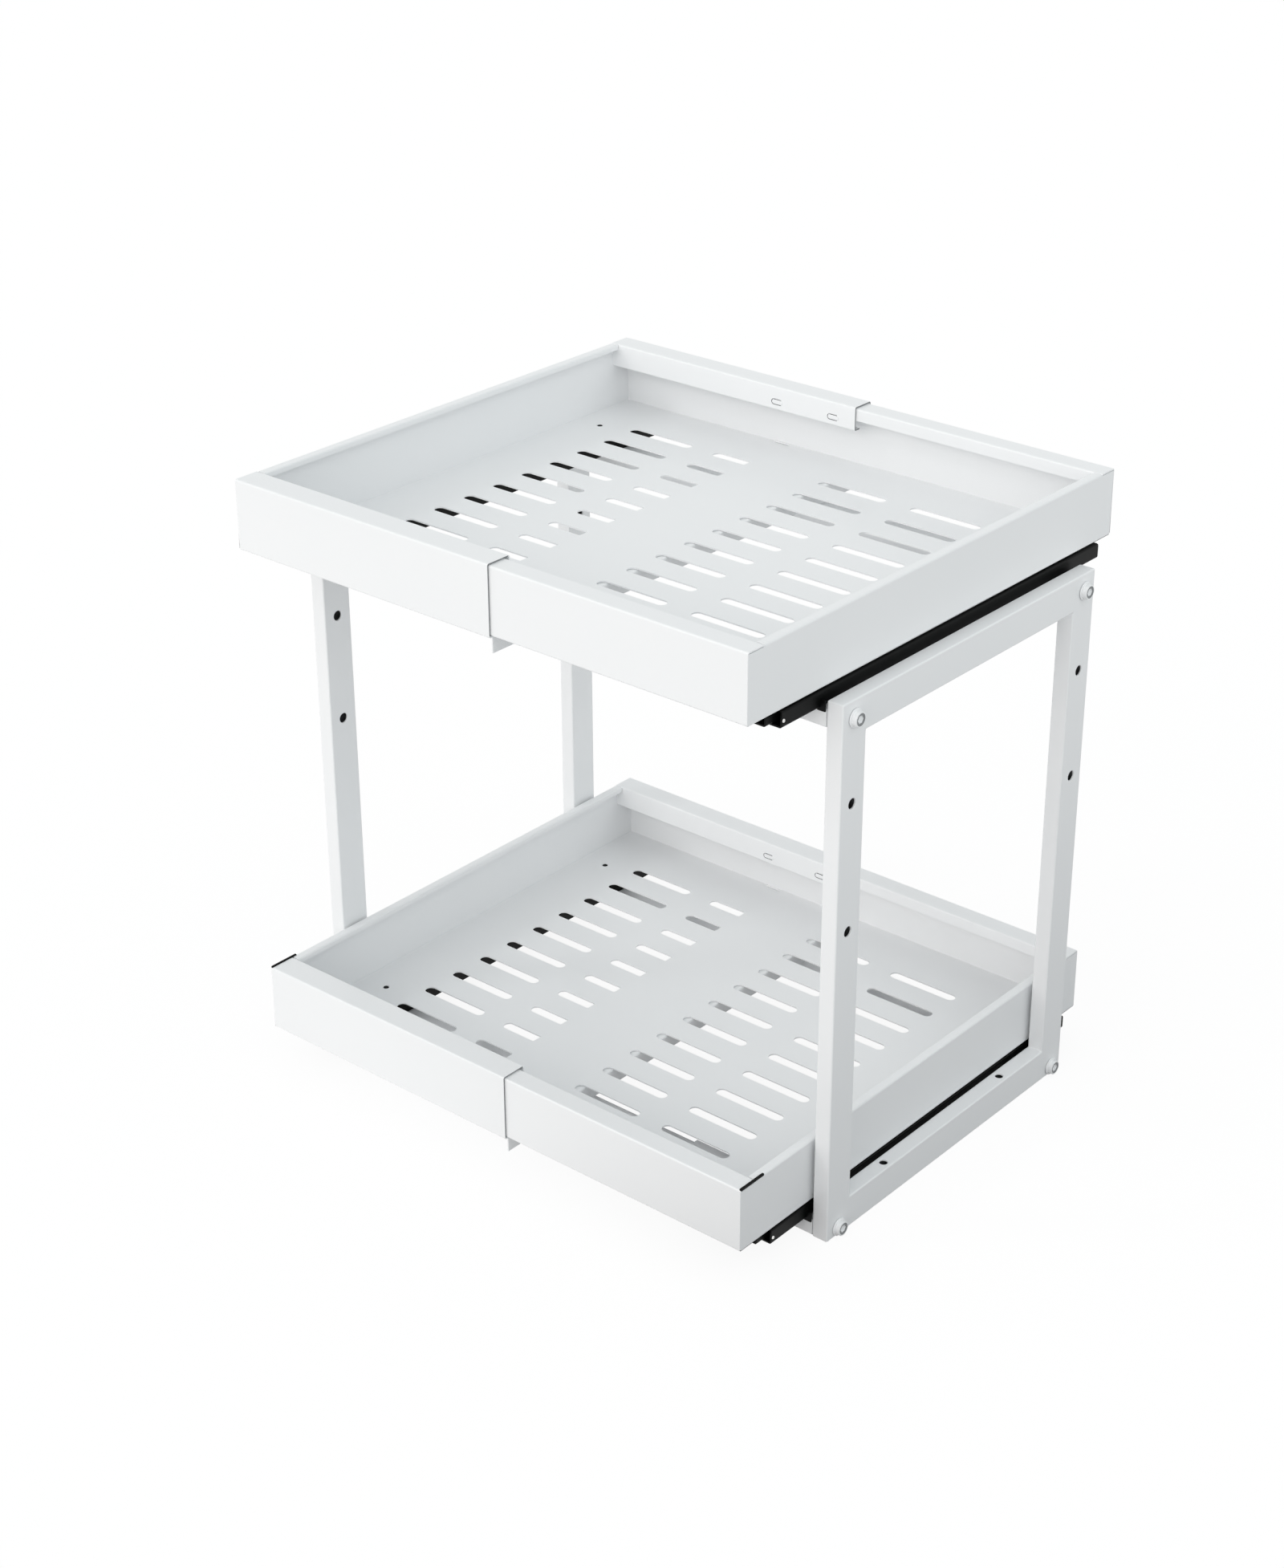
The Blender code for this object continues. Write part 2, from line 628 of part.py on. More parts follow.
def make_slide(tier, side, sign, bar_z):
    """A base on the cross bars, a middle member and a runner under the tray, with ball cages."""
    place = Vector((sign * SLIDE_CENTRE, SLIDE_FRONT, slide_z(bar_z)))
    lead = place - Vector((0.0, MEMBER_LEAD, 0.0))
    stem = f"{tier}_{side}_slide"
    fixed = side_bodies[side]
    base = add_part(stem + "_base", folded_mesh("base", base_outline(), 0.0, SLIDE_LENGTH, False),
                    BLACK, fixed, place)
    middle = add_part(stem + "_middle", folded_mesh("middle", middle_outline(), 0.0, MIDDLE_LENGTH, False),
                      BLACK, middle_bodies[tier, side], lead)
    runner = add_part(stem + "_runner", folded_mesh("runner", runner_outline(), 0.0, RUNNER_LENGTH, False),
                      BLACK, tray_bodies[tier, side], lead)
    for member in (base, middle, runner):
        thicken(member, SLIDE_SHEET)
    bm = bmesh.new()
    for screw_y in SCREW_PLACES:
        y = screw_y - lead.y
        add_cylinder(bm, SCREW_RADIUS + SCREW_GAP, (0.0, y, SLIDE_THICKNESS - SLIDE_SHEET - OVERRUN),
                     (0.0, y, SLIDE_THICKNESS + OVERRUN), HOLE_STEPS)
    cut(runner, finish(bm, "screw_holes"), "screw_holes")
    outer_low = MIDDLE_WIDTH / 2
    outer_high = SLIDE_WIDTH / 2 - SLIDE_SHEET
    outer_centre = (outer_low + outer_high) / 2
    make_cage(f"{tier}_{side}_outer_cage", outer_cage_bodies[tier, side],
              place + Vector((0.0, OUTER_CAGE_SETBACK, 0.0)),
              outer_centre + CAGE_SHEET / 2, OUTER_CAGE_FLOOR, OUTER_CAGE_TOP, OUTER_BALL_HEIGHT,
              (outer_high - outer_low) / 2 - BALL_GAP)
    inner_low = RUNNER_WIDTH / 2
    inner_high = MIDDLE_WIDTH / 2 - SLIDE_SHEET
    inner_centre = (inner_low + inner_high) / 2
    make_cage(f"{tier}_{side}_inner_cage", inner_cage_bodies[tier, side],
              lead + Vector((0.0, INNER_CAGE_SETBACK, 0.0)),
              inner_centre + CAGE_SHEET / 2, INNER_CAGE_FLOOR, INNER_CAGE_TOP, INNER_BALL_HEIGHT,
              (inner_high - inner_low) / 2 - BALL_GAP)


for tier, bar_z in TIERS.items():
    for side, sign in SIDES.items():
        make_slide(tier, side, sign, bar_z)


# Trays

def tray_outline(half_depth, floor_z, top_z, lips_y, lip, lip_return):
    """A tray half seen from its end, from the front lip round to the back lip."""
    ends = []
    for sign, lip_y in zip((-1, 1), lips_y):
        end = [(lip_y, top_z - lip), (lip_y, top_z), (sign * half_depth, top_z), (sign * half_depth, floor_z)]
        if lip_return:
            end.insert(0, (lip_y + sign * lip_return, top_z - lip))
        ends.append(end)
    front, back = ends
    return rounded(front + back[::-1], SHEET_BEND, BEND_STEPS)


def end_plate_mesh(half_depth, floor_z, top_z, low, high):
    """The side wall, with the tray's own bends at its bottom corners."""
    below_flange = top_z - SHEET - HEM_SEAM
    outline = rounded([(-half_depth, below_flange), (-half_depth, floor_z), (half_depth, floor_z),
                       (half_depth, below_flange)], SHEET_BEND, BEND_STEPS)
    return plate_mesh("end_plate", outline, low, high, 0)


def add_hem(part, sign, flanges_y, top_z, wall_x):
    """The side wall's folded top edge, between the front and back flanges."""
    outline = [(wall_x - sign * HEM, top_z - HEM_LIP), (wall_x - sign * HEM, top_z), (wall_x, top_z),
               (wall_x, top_z - HEM_FUSE)]
    if sign > 0:
        outline.reverse()
    start = flanges_y[0] + HEM_SEAM
    end = flanges_y[1] - HEM_SEAM
    bm = bmesh.new()
    verts = [bm.verts.new((x, start, z)) for x, z in outline]
    edges = [bm.edges.new(pair) for pair in zip(verts, verts[1:])]
    swept = bmesh.ops.extrude_edge_only(bm, edges=edges)["geom"]
    moved = [item for item in swept if isinstance(item, bmesh.types.BMVert)]
    bmesh.ops.translate(bm, vec=(0.0, end - start, 0.0), verts=moved)
    bm.normal_update()
    top_face = max(bm.faces, key=lambda face: face.calc_center_median().z)
    if top_face.normal.z < 0.0:
        bmesh.ops.reverse_faces(bm, faces=bm.faces[:])
    helper = join(part, finish(bm, "hem"), "hem")
    thicken(helper, SHEET)


def drain_slots(first_column, step, floor_z):
    """All the slots of a half, as one mesh of separate prisms."""
    made = []
    for column in range(COLUMNS):
        x = first_column + step * column
        for row in range(SLOT_ROWS):
            y = SLOT_ROWS_SHIFT + (row - (SLOT_ROWS - 1) / 2) * SLOT_PITCH
            outline = slot_outline(SLOT_LENGTH, SLOT_WIDTH, (x, y))
            made.append(plate_mesh("slot", outline, floor_z - OVERRUN, floor_z + SHEET + OVERRUN, 2))
    return merge_meshes("slots", made)


def screw_holes(x, floor_z):
    bm = bmesh.new()
    for y in SCREW_PLACES:
        add_cylinder(bm, SCREW_RADIUS + SCREW_GAP, (x, y, floor_z - OVERRUN),
                     (x, y, floor_z + SHEET + OVERRUN), HOLE_STEPS)
    return finish(bm, "screw_holes")


def lance_slits(lips_y):
    """Thin slits above and below the bridge of each guide, through the front and back lips."""
    bm = bmesh.new()
    for end, lip_y in zip((-1, 1), lips_y):
        y = lip_y + end * SHEET / 2
        for index in range(LANCES):
            x = LEFT_HALF_EDGE - LANCE_INSET - index * LANCE_PITCH
            for level in (-1, 1):
                z = TRAY_WALL - LANCE_DROP + level * LANCE_WIDTH / 2
                half = Vector((LANCE_LENGTH / 2, SHEET, LANCE_SLIT / 2))
                centre = Vector((x, y, z))
                add_box(bm, centre - half, centre + half)
    return finish(bm, "lance_slits")


def make_left_tray(tier, bar_z):
    """The outer half: its lips fold back, and its floor ends in a downward flange."""
    body = tray_bodies[tier, "left"]
    place = (0.0, 0.0, tray_z(bar_z))
    lips_y = (LEFT_FRONT_FLANGE - HALF_DEPTH, HALF_DEPTH - FLANGE)
    outline = tray_outline(HALF_DEPTH, 0.0, TRAY_WALL, lips_y, LEFT_LIP, LEFT_LIP_RETURN)
    shell = folded_mesh("left_half", outline, -HALF_WIDTH, LEFT_HALF_EDGE, True)
    tray = add_part(f"{tier}_tray_left", shell, WHITE, body, place)
    thicken(tray, SHEET)
    join(tray, end_plate_mesh(HALF_DEPTH, 0.0, TRAY_WALL, -HALF_WIDTH, SHEET - HALF_WIDTH), "end_wall")
    add_hem(tray, -1, lips_y, TRAY_WALL, -HALF_WIDTH)
    flange_y = HALF_DEPTH - DOWN_FLANGE_SETBACK
    join(tray, box_mesh("down_flange", (LEFT_HALF_EDGE - SHEET, -flange_y, -DOWN_FLANGE),
                        (LEFT_HALF_EDGE, flange_y, SHEET / 2)), "down_flange")
    cut(tray, drain_slots(LEFT_FIRST_COLUMN - HALF_WIDTH, COLUMN_PITCH, 0.0), "drain_slots")
    cut(tray, screw_holes(-SLIDE_CENTRE, 0.0), "screw_holes")
    cut(tray, lance_slits(lips_y), "lance_slits")


def make_right_tray(tier, bar_z):
    """The inner half: it nests in the left half and stands on pressed bosses."""
    body = tray_bodies[tier, "right"]
    place = (0.0, 0.0, tray_z(bar_z))
    half_depth = HALF_DEPTH - NEST
    top_z = TRAY_WALL - NEST
    lips_y = (FLANGE - NEST - HALF_DEPTH, HALF_DEPTH - FLANGE + NEST)
    outline = tray_outline(half_depth, NEST, top_z, lips_y, RIGHT_LIP, 0.0)
    start = RIGHT_HALF_EDGE - LIP_REACH
    shell = folded_mesh("right_half", outline, start, HALF_WIDTH, True)
    tray = add_part(f"{tier}_tray_right", shell, WHITE, body, place)
    thicken(tray, SHEET)
    join(tray, end_plate_mesh(half_depth, NEST, top_z, HALF_WIDTH - SHEET, HALF_WIDTH), "end_wall")
    add_hem(tray, 1, lips_y, top_z, HALF_WIDTH)
    floor_y = half_depth - SHEET_BEND - SHEET
    cut(tray, box_mesh("floor_edge", (start - OVERRUN, -floor_y, NEST - OVERRUN),
                       (RIGHT_HALF_EDGE, floor_y, NEST + SHEET + OVERRUN)), "floor_edge")
    bosses = bmesh.new()
    dimples = bmesh.new()
    slope = BOSS_SPREAD / (NEST + SHEET)
    for y in SCREW_PLACES:
        add_cylinder(bosses, BOSS_RADIUS, (SLIDE_CENTRE, y, 0.0), (SLIDE_CENTRE, y, NEST + SHEET / 2),
                     BOSS_STEPS, BOSS_RADIUS + slope * (NEST + SHEET / 2))
        dimple_top = NEST + OVERRUN
        add_cylinder(dimples, BOSS_RADIUS - SHEET, (SLIDE_CENTRE, y, SHEET),
                     (SLIDE_CENTRE, y, SHEET + dimple_top), BOSS_STEPS, BOSS_RADIUS - SHEET + slope * dimple_top)
    join(tray, finish(bosses, "bosses"), "bosses")
    cut(tray, finish(dimples, "dimples"), "dimples")
    cut(tray, drain_slots(HALF_WIDTH - RIGHT_FIRST_COLUMN, -COLUMN_PITCH, NEST), "drain_slots")
    cut(tray, screw_holes(SLIDE_CENTRE, 0.0), "screw_holes")


def tray_screw_mesh():
    """A screw along +Z: its head's seat is at zero and its tip ends level with the tray floor."""
    shank = SEAT_GAP + SLIDE_SHEET + SEAT_GAP + SHEET
    return turned_mesh("tray_screw", [
        (0.0, shank),
        (SCREW_RADIUS, shank),
        (SCREW_RADIUS, 0.0),
        (SCREW_HEAD_RADIUS, 0.0),
        (SCREW_HEAD_RADIUS, SCREW_CHAMFER - SCREW_HEAD),
        (SCREW_HEAD_RADIUS - SCREW_CHAMFER, -SCREW_HEAD),
        (0.0, -SCREW_HEAD),
    ])


shared_screw = tray_screw_mesh()
for tier, bar_z in TIERS.items():
    make_left_tray(tier, bar_z)
    make_right_tray(tier, bar_z)
    for side, sign in SIDES.items():
        for place_name, y in zip(("front", "back"), SCREW_PLACES):
            seat_z = slide_z(bar_z) + SLIDE_THICKNESS - SLIDE_SHEET - SEAT_GAP
            spot = (sign * SLIDE_CENTRE, y, seat_z)
            screw = add_part(f"{tier}_{side}_{place_name}_tray_screw", shared_screw, BLACK,
                             tray_bodies[tier, side], spot)
            turn_profile(screw, SCREW_STEPS)
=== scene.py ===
import math

import bmesh
import bpy
from mathutils import Euler, Matrix, Vector


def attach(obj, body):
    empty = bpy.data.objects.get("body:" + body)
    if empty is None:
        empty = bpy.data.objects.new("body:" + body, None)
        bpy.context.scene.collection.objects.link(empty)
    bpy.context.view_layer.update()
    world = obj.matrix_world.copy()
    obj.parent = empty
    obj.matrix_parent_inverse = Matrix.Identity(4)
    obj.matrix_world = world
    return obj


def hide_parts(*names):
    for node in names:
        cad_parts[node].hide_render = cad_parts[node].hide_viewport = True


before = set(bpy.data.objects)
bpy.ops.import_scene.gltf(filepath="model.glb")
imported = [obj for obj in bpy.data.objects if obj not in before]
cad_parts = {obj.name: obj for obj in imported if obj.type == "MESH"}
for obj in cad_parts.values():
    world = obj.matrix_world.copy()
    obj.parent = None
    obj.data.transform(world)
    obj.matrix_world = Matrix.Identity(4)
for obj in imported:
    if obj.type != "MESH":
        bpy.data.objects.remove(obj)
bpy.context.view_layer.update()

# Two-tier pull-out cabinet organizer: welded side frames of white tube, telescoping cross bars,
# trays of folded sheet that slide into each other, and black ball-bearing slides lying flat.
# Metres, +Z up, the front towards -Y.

SIDES = {"left": -1, "right": 1}
ENDS = ("front", "back")

# How far cutters pass through what they cut, and how near counts as touching
CLEAR = 0.002
CUT = 0.003
NEAR = 0.00002
WELD = 0.00001
SHORT_EDGE = 0.00005

# Trays
TRAY_UNDERSIDE = {"upper": 0.40705, "lower": 0.0266}
TRAY_HALF_WIDTH = 0.220
TRAY_HALF_DEPTH = 0.2025
TRAY_WALL = 0.051
SHEET = 0.0010
FOLD = 0.0014
FOLD_STEPS = 6
NEST = 0.0013
SEAM = 0.0004
SEAM_X = 0.0125
RIGHT_FLOOR_EDGE = -0.057
RIGHT_WALL_EDGE = -0.072
LEFT_LIPS_Y = (-0.1817, 0.1839)
RIGHT_LIPS_Y = (-0.1852, 0.1852)
LEFT_LIP = 0.018
LEFT_LIP_RETURN = 0.006
RIGHT_LIP = 0.009
HEM = 0.007
HEM_LIP = 0.004
HEM_ROOT = 0.0058
WALL_DROP = 0.0015
PERIMETER = 0.0004
# A thin black strip of painted shade at the lower tray's front corners
GAP_SHADOW_STRIP = 0.0018
GAP_SHADOW_STRIP_LENGTH = 0.0245
DOWN_FLANGE = 0.011
DOWN_FLANGE_REACH = 0.1995
DOWN_FLANGE_ROOT = 0.0031
DOWN_FLANGE_FOLD = 0.0016

# Drain slots and guides
SLOT_LENGTH = 0.0588
SLOT_WIDTH = 0.0085
SLOT_COLUMNS = {"left": (-0.1422, -0.0612), "right": (0.0365, 0.1175)}
SLOT_PITCH = 0.03024
SLOT_ROWS = [-0.0012 + (row - 5) * SLOT_PITCH for row in range(11)]
GUIDE_PLACES = (-0.007, -0.0585)
GUIDE_HEIGHT = 0.0392
GUIDE_LENGTH = 0.0112
GUIDE_WIDTH = 0.0046
GUIDE_SLIT = 0.0006
GUIDE_GAP = 0.0001
GUIDE_PROUD = 0.0004
GUIDE_RIM = 0.0003
GUIDE_STEPS = 20

# Tray screws, their holes, and the seats pressed into the right halves for them
SCREW_X = 0.1965
SCREW_ROWS = {"front": -0.1105, "back": 0.1425}
SCREW_SEAT = 0.0112
SCREW_SHANK = 0.0019
SCREW_HEAD, SCREW_HEAD_DEPTH = 0.0031, 0.0014
SCREW_EDGE = 0.0003
CROSS_ARM, CROSS_HALF_WIDTH, CROSS_TOP = 0.0019, 0.00035, 0.0007
SCREW_HOLE = 0.0022
DISH_ROOT = -0.0005
DISH_RADIUS, DISH_TOP = 0.0029, 0.0002
SEAT_FOOT, SEAT_ROOT = 0.006, 0.0075
DIMPLE_FLOOR, DIMPLE_MOUTH, DIMPLE_TOP = 0.005, 0.0068, 0.004
DIMPLE_RIM = 0.0001

# Side frames
FRAME_INNER = 0.2228
FRAME_LOW_Y = -0.126
FRAME_HIGH_Y = 0.160
FRAME_HEIGHT = 0.400
TUBE_FACE = 0.025
TUBE_THICK = 0.0125
TUBE_WALL = 0.0012
TUBE_ROUND = 0.0012
TUBE_ROUND_STEPS = 4
POST_HOLE = 0.00375
HIGH_POST_HOLE = 0.328
LOW_POST_HOLE = {("right", "front"): 0.236, ("left", "back"): 0.236,
                 ("right", "back"): 0.247, ("left", "front"): 0.247}
FLOOR_HOLE = 0.003
FLOOR_HOLE_ROWS = (0.017 - 0.071, 0.017 + 0.071)
BOLT_HOLE = 0.0031
HOLE_RIM = 0.0003
HOLE_REACH, FLOOR_HOLE_REACH = 0.010, 0.018

# Corner bolts: radii, and heights over the flange's seat
BOLT_GAP = 0.0003
BOLT_HEAD, BOLT_TOP = 0.0053, 0.0044
BOLT_FLANGE, BOLT_FLANGE_TOP = 0.0066, 0.0012
BOLT_SHANK, BOLT_END = 0.0030, -0.0195
BOLT_EDGE = 0.00055
BOLT_STEPS = 40
SOCKET_RADIUS, SOCKET_DEPTH = 0.00289, 0.0016
MOUTH_FLOOR, MOUTH_RIM = 0.0031, 0.0043
MOUTH_LOW, MOUTH_HIGH = 0.0040, 0.0047

# Cross bars
BAR_ROWS = {"front": -0.1135, "back": 0.1475}
BAR_HEIGHT = {"upper": 0.3875, "lower": 0.00705}
OUTER_TUBES = {"right": (0.1025, 0.2225), "left": (-0.2225, -0.0215)}
INNER_TUBE = (-0.0915, 0.1625)
INNER_INSET = 0.0015
INNER_WALL = 0.0010
PLUG = 0.005

# Slides. Each profile is its half width, low, high and lip, and whether it opens upwards.
SLIDE_UNDERSIDE = {"upper": 0.39405, "lower": 0.0136}
SLIDE_SHEET = 0.0012
SLIDE_FOLD = 0.0018
SLIDE_FOLD_STEPS = 5
BASE_PROFILE = (0.0225, 0.0, 0.0118, 0.0035, True)
MIDDLE_PROFILE = (0.018, 0.0032, 0.0100, 0.0022, True)
RUNNER_PROFILE = (0.013, 0.0068, 0.0127, 0.0022, False)
RUNNER_WEB = 0.0121
BASE_FRONT, BASE_BACK = -0.166, 0.189
MEMBER_FRONT = -0.176
MIDDLE_BACK, RUNNER_BACK = 0.174, 0.176
END_ROUND = 0.003

# The ears and studs at the front of each base. Each ear's plate is its inner end and its top.
EAR_REACH = 0.0261
EAR_DROP = 0.0016
EAR_ROUND = 0.0012
EAR_PLATES = ((0.0195, 0.0004), (0.0222, 0.0060))
STUD_OUTLINE = ((0.0, -0.0006), (0.0013, -0.0006), (0.0013, 0.0001), (0.0011, 0.0004),
                (0.0006, 0.0006), (0.0, 0.0007))
STUD_SETBACK = 0.0017
STUD_HEIGHT = 0.0050

# Ball cages. Each is its front, half width, floor and top, and its balls' height and radius.
CAGE_LENGTH = 0.120
CAGE_SHEET = 0.0006
CAGE_FOLD = 0.0008
CAGE_BALLS = 14
BALL_MARGIN = 0.004
BALL_INSET = 0.0003
OUTER_CAGE = (BASE_FRONT + 0.100, 0.01995, 0.0018, 0.0085, 0.0060, 0.0014)
INNER_CAGE = (MEMBER_FRONT + 0.105, 0.0152, 0.0054, 0.0088, 0.0074, 0.00165)


# Materials

class Wire:
    """A node's output that can be used in sums. Each operator adds one Math node."""

    def __init__(self, finish, socket):
        self.finish = finish
        self.socket = socket

    def worked(self, operation, other):
        return self.finish.node("ShaderNodeMath", {0: self, 1: other}, operation=operation)

    def __add__(self, other):
        return self.worked("ADD", other)

    def __mul__(self, other):
        return self.worked("MULTIPLY", other)

    __radd__ = __add__
    __rmul__ = __mul__


class Finish:
    """A node material in the making. Its constants are set on the shader's own sockets."""

    def __init__(self, name, **constants):
        self.material = bpy.data.materials.new(name)
        self.material.use_nodes = True
        self.tree = self.material.node_tree
        self.shader = self.tree.nodes["Principled BSDF"]
        for label, value in constants.items():
            self.shader.inputs[label.replace("_", " ")].default_value = value

    def node(self, kind, values, output=0, **settings):
        made = self.tree.nodes.new(kind)
        for label, value in settings.items():
            setattr(made, label, value)
        for label, value in values.items():
            self.feed(made.inputs[label], value)
        return Wire(self, made.outputs[output])

    def feed(self, socket, value):
        if isinstance(value, Wire):
            self.tree.links.new(value.socket, socket)
        else:
            socket.default_value = value

    def place(self, stretch=(1.0, 1.0, 1.0)):
        """Object coordinates, stretched for a grain that runs one way."""
        spot = self.node("ShaderNodeTexCoord", {}, output="Object")
        return self.node("ShaderNodeMapping", {"Vector": spot, "Scale": stretch})

    def grain(self, spot, scale, detail=2.0, rough=0.5):
        return self.node("ShaderNodeTexNoise",
                         {"Vector": spot, "Scale": scale, "Detail": detail, "Roughness": rough})

    def tint(self, factor, low, high):
        """A colour between two, by a factor."""
        blend = self.node("ShaderNodeValToRGB", {"Fac": factor})
        for point, colour in zip(blend.socket.node.color_ramp.elements, (low, high)):
            point.color = (*colour, 1.0)
        return blend

    def relief(self, height, depth, strength):
        return self.node("ShaderNodeBump",
                         {"Height": height, "Distance": depth, "Strength": strength})

    def done(self, **wires):
        for label, wire in wires.items():
            self.feed(self.shader.inputs[label.replace("_", " ")], wire)
        return self.material


def powder_coat():
    """Satin white powder coat: fine orange peel, with faint clouds in its tone and gloss."""
    coat = Finish("white_powder_coat")
    spot = coat.place()
    clouds = coat.grain(spot, scale=9.0, detail=3.0)
    peel = coat.grain(spot, scale=620.0, detail=1.0)
    speck = coat.grain(spot, scale=2100.0, rough=0.6)
    gloss = 0.27 + 0.06 * coat.grain(spot, scale=46.0, detail=3.0) + 0.05 * peel
    return coat.done(Base_Color=coat.tint(clouds, (0.893, 0.908, 0.920), (0.922, 0.932, 0.940)),
                     Roughness=gloss, Normal=coat.relief(peel + 0.3 * speck, 0.00004, 0.2))


def slide_coat():
    """Black coated slide steel: smooth, with faint rolling lines along the slide."""
    coat = Finish("black_slide_steel", Metallic=0.0, Specular_IOR_Level=0.09)
    rolled = coat.grain(coat.place(stretch=(420.0, 6.0, 420.0)), scale=1.0, detail=3.0)
    speck = coat.grain(coat.place(), scale=900.0)
    black = coat.tint(rolled, (0.0020, 0.0023, 0.0023), (0.0040, 0.0044, 0.0043))
    return coat.done(Base_Color=black, Roughness=0.30 + 0.10 * rolled + 0.06 * speck,
                     Normal=coat.relief(0.6 * rolled + 0.4 * speck, 0.00003, 0.3))


def bearing_steel():
    """Bright bearing steel with a fine drawn grain."""
    steel = Finish("bright_bearing_steel", Metallic=1.0)
    drawn = steel.grain(steel.place(stretch=(900.0, 30.0, 900.0)), scale=1.0)
    return steel.done(Base_Color=steel.tint(drawn, (0.66, 0.66, 0.65), (0.78, 0.78, 0.76)),
                      Roughness=0.16 + 0.12 * drawn, Normal=steel.relief(drawn, 0.00001, 0.3))


def tube_inside():
    """The bare inside of a tube, which the coat doesn't reach."""
    steel = Finish("tube_inside", Metallic=0.0, Specular_IOR_Level=0.2)
    mottle = steel.grain(steel.place(), scale=160.0, detail=4.0)
    return steel.done(Base_Color=steel.tint(mottle, (0.17, 0.18, 0.19), (0.42, 0.43, 0.44)),
                      Roughness=0.55 + 0.25 * mottle, Normal=steel.relief(mottle, 0.00004, 0.4))


def painted_shade_grey():
    """Dark grey painted shade, mottled: on the sheet's end at the seam, in the guides' slits and in
    the mouths of the bolts' sockets.
    """
    steel = Finish("painted_shade_grey", Metallic=0.0)
    shade_mottle = steel.grain(steel.place(), scale=700.0, detail=3.0)
    return steel.done(Base_Color=steel.tint(shade_mottle, (0.15, 0.16, 0.165), (0.30, 0.31, 0.32)),
                      Roughness=0.35 + 0.2 * shade_mottle, Normal=steel.relief(shade_mottle, 0.00002, 0.4))


WHITE = powder_coat()
BLACK = slide_coat()
STEEL = bearing_steel()
INSIDE = tube_inside()
# Dark grey painted shade for the seam's end, the guides' slits and the bolts' mouths
PAINTED_SHADE = painted_shade_grey()


# Mesh tools

PIECES = bpy.data.collections.new("organizer_pieces")
bpy.context.scene.collection.children.link(PIECES)


def new_piece(name, solid, *materials):
    mesh = bpy.data.meshes.new(name)
    solid.to_mesh(mesh)
    solid.free()
    for material in materials:
        mesh.materials.append(material)
    piece = bpy.data.objects.new(name, mesh)
    PIECES.objects.link(piece)
    return piece


def whole(solid):
    return solid.verts[:] + solid.edges[:] + solid.faces[:]


def put(solid, place):
    bmesh.ops.transform(solid, matrix=place, verts=solid.verts[:])
    return solid


def moved_verts(made):
    return [item for item in made["geom"] if isinstance(item, bmesh.types.BMVert)]


def grow(solid, vec):
    """Extrudes a flat mesh into a solid."""
    made = bmesh.ops.extrude_face_region(solid, geom=solid.faces[:])
    bmesh.ops.translate(solid, vec=vec, verts=moved_verts(made))
    bmesh.ops.recalc_face_normals(solid, faces=solid.faces[:])


def leave_ring(solid, width):
    """Cuts the middle out of a flat face, so that a ring of this width is left."""
    ring = bmesh.ops.inset_region(solid, faces=solid.faces[:], thickness=width,
                                  use_even_offset=True, use_boundary=True)
    middle = [face for face in solid.faces if face not in set(ring["faces"])]
    bmesh.ops.delete(solid, geom=middle, context="FACES")


def round_edges(solid, edges, radius, segments):
    bmesh.ops.bevel(solid, geom=edges, offset=radius, offset_type="OFFSET", segments=segments,
                    profile=0.5, affect="EDGES", material=-1)


def sharp_edges(solid, degrees):
    return [edge for edge in solid.edges
            if len(edge.link_faces) == 2 and edge.calc_face_angle(0.0) > math.radians(degrees)]


def soften(solid, radius, segments=2, degrees=40.0):
    round_edges(solid, sharp_edges(solid, degrees), radius, segments)


def turn_faces(solid, pick, sign):
    """Turns the faces so that the lowest or highest one, by min or max, faces this way in Z."""
    solid.normal_update()
    chosen = pick(solid.faces, key=lambda face: face.calc_center_median().z)
    if sign * chosen.normal.z < 0.0:
        bmesh.ops.reverse_faces(solid, faces=solid.faces[:])


def block(low, high, edge=0.0):
    """A block from its lowest to its highest corner, with rounded edges if they are asked for."""
    solid = bmesh.new()
    bmesh.ops.create_cube(solid, size=1.0)
    bmesh.ops.scale(solid, vec=Vector(high) - Vector(low), verts=solid.verts[:])
    bmesh.ops.translate(solid, vec=(Vector(high) + Vector(low)) / 2, verts=solid.verts[:])
    if edge:
        round_edges(solid, solid.edges[:], edge, 3)
    return solid


def turned(outline, place, steps=32):
    """A turned solid: its outline of (radius, height) is spun round +Z, then put in place."""
    solid = bmesh.new()
    verts = [solid.verts.new((radius, 0.0, height)) for radius, height in outline]
    edges = [solid.edges.new(pair) for pair in zip(verts, verts[1:])]
    bmesh.ops.spin(solid, geom=verts + edges, cent=(0.0, 0.0, 0.0), axis=(0.0, 0.0, 1.0),
                   angle=2 * math.pi, steps=steps, use_merge=True, use_duplicate=False)
    bmesh.ops.remove_doubles(solid, verts=solid.verts[:], dist=WELD)
    bmesh.ops.recalc_face_normals(solid, faces=solid.faces[:])
    return put(solid, place)


def folded(outline, start, end, along_x, fold, segments):
    """An open folded sheet. The outline is (Y, Z) when it is swept along X and (X, Z) when it is
    swept along Y. Its outer face points down at the lowest fold, and each fold is rounded."""
    solid = bmesh.new()
    if along_x:
        spots, sweep = [(start, a, b) for a, b in outline], (end - start, 0.0, 0.0)
    else:
        spots, sweep = [(a, start, b) for a, b in outline], (0.0, end - start, 0.0)
    verts = [solid.verts.new(spot) for spot in spots]
    edges = [solid.edges.new(pair) for pair in zip(verts, verts[1:])]
    swept = bmesh.ops.extrude_edge_only(solid, edges=edges)
    bmesh.ops.translate(solid, vec=sweep, verts=moved_verts(swept))
    turn_faces(solid, min, -1)
    folds = [edge for edge in solid.edges if len(edge.link_faces) == 2]
    round_edges(solid, folds, fold, segments)
    return solid


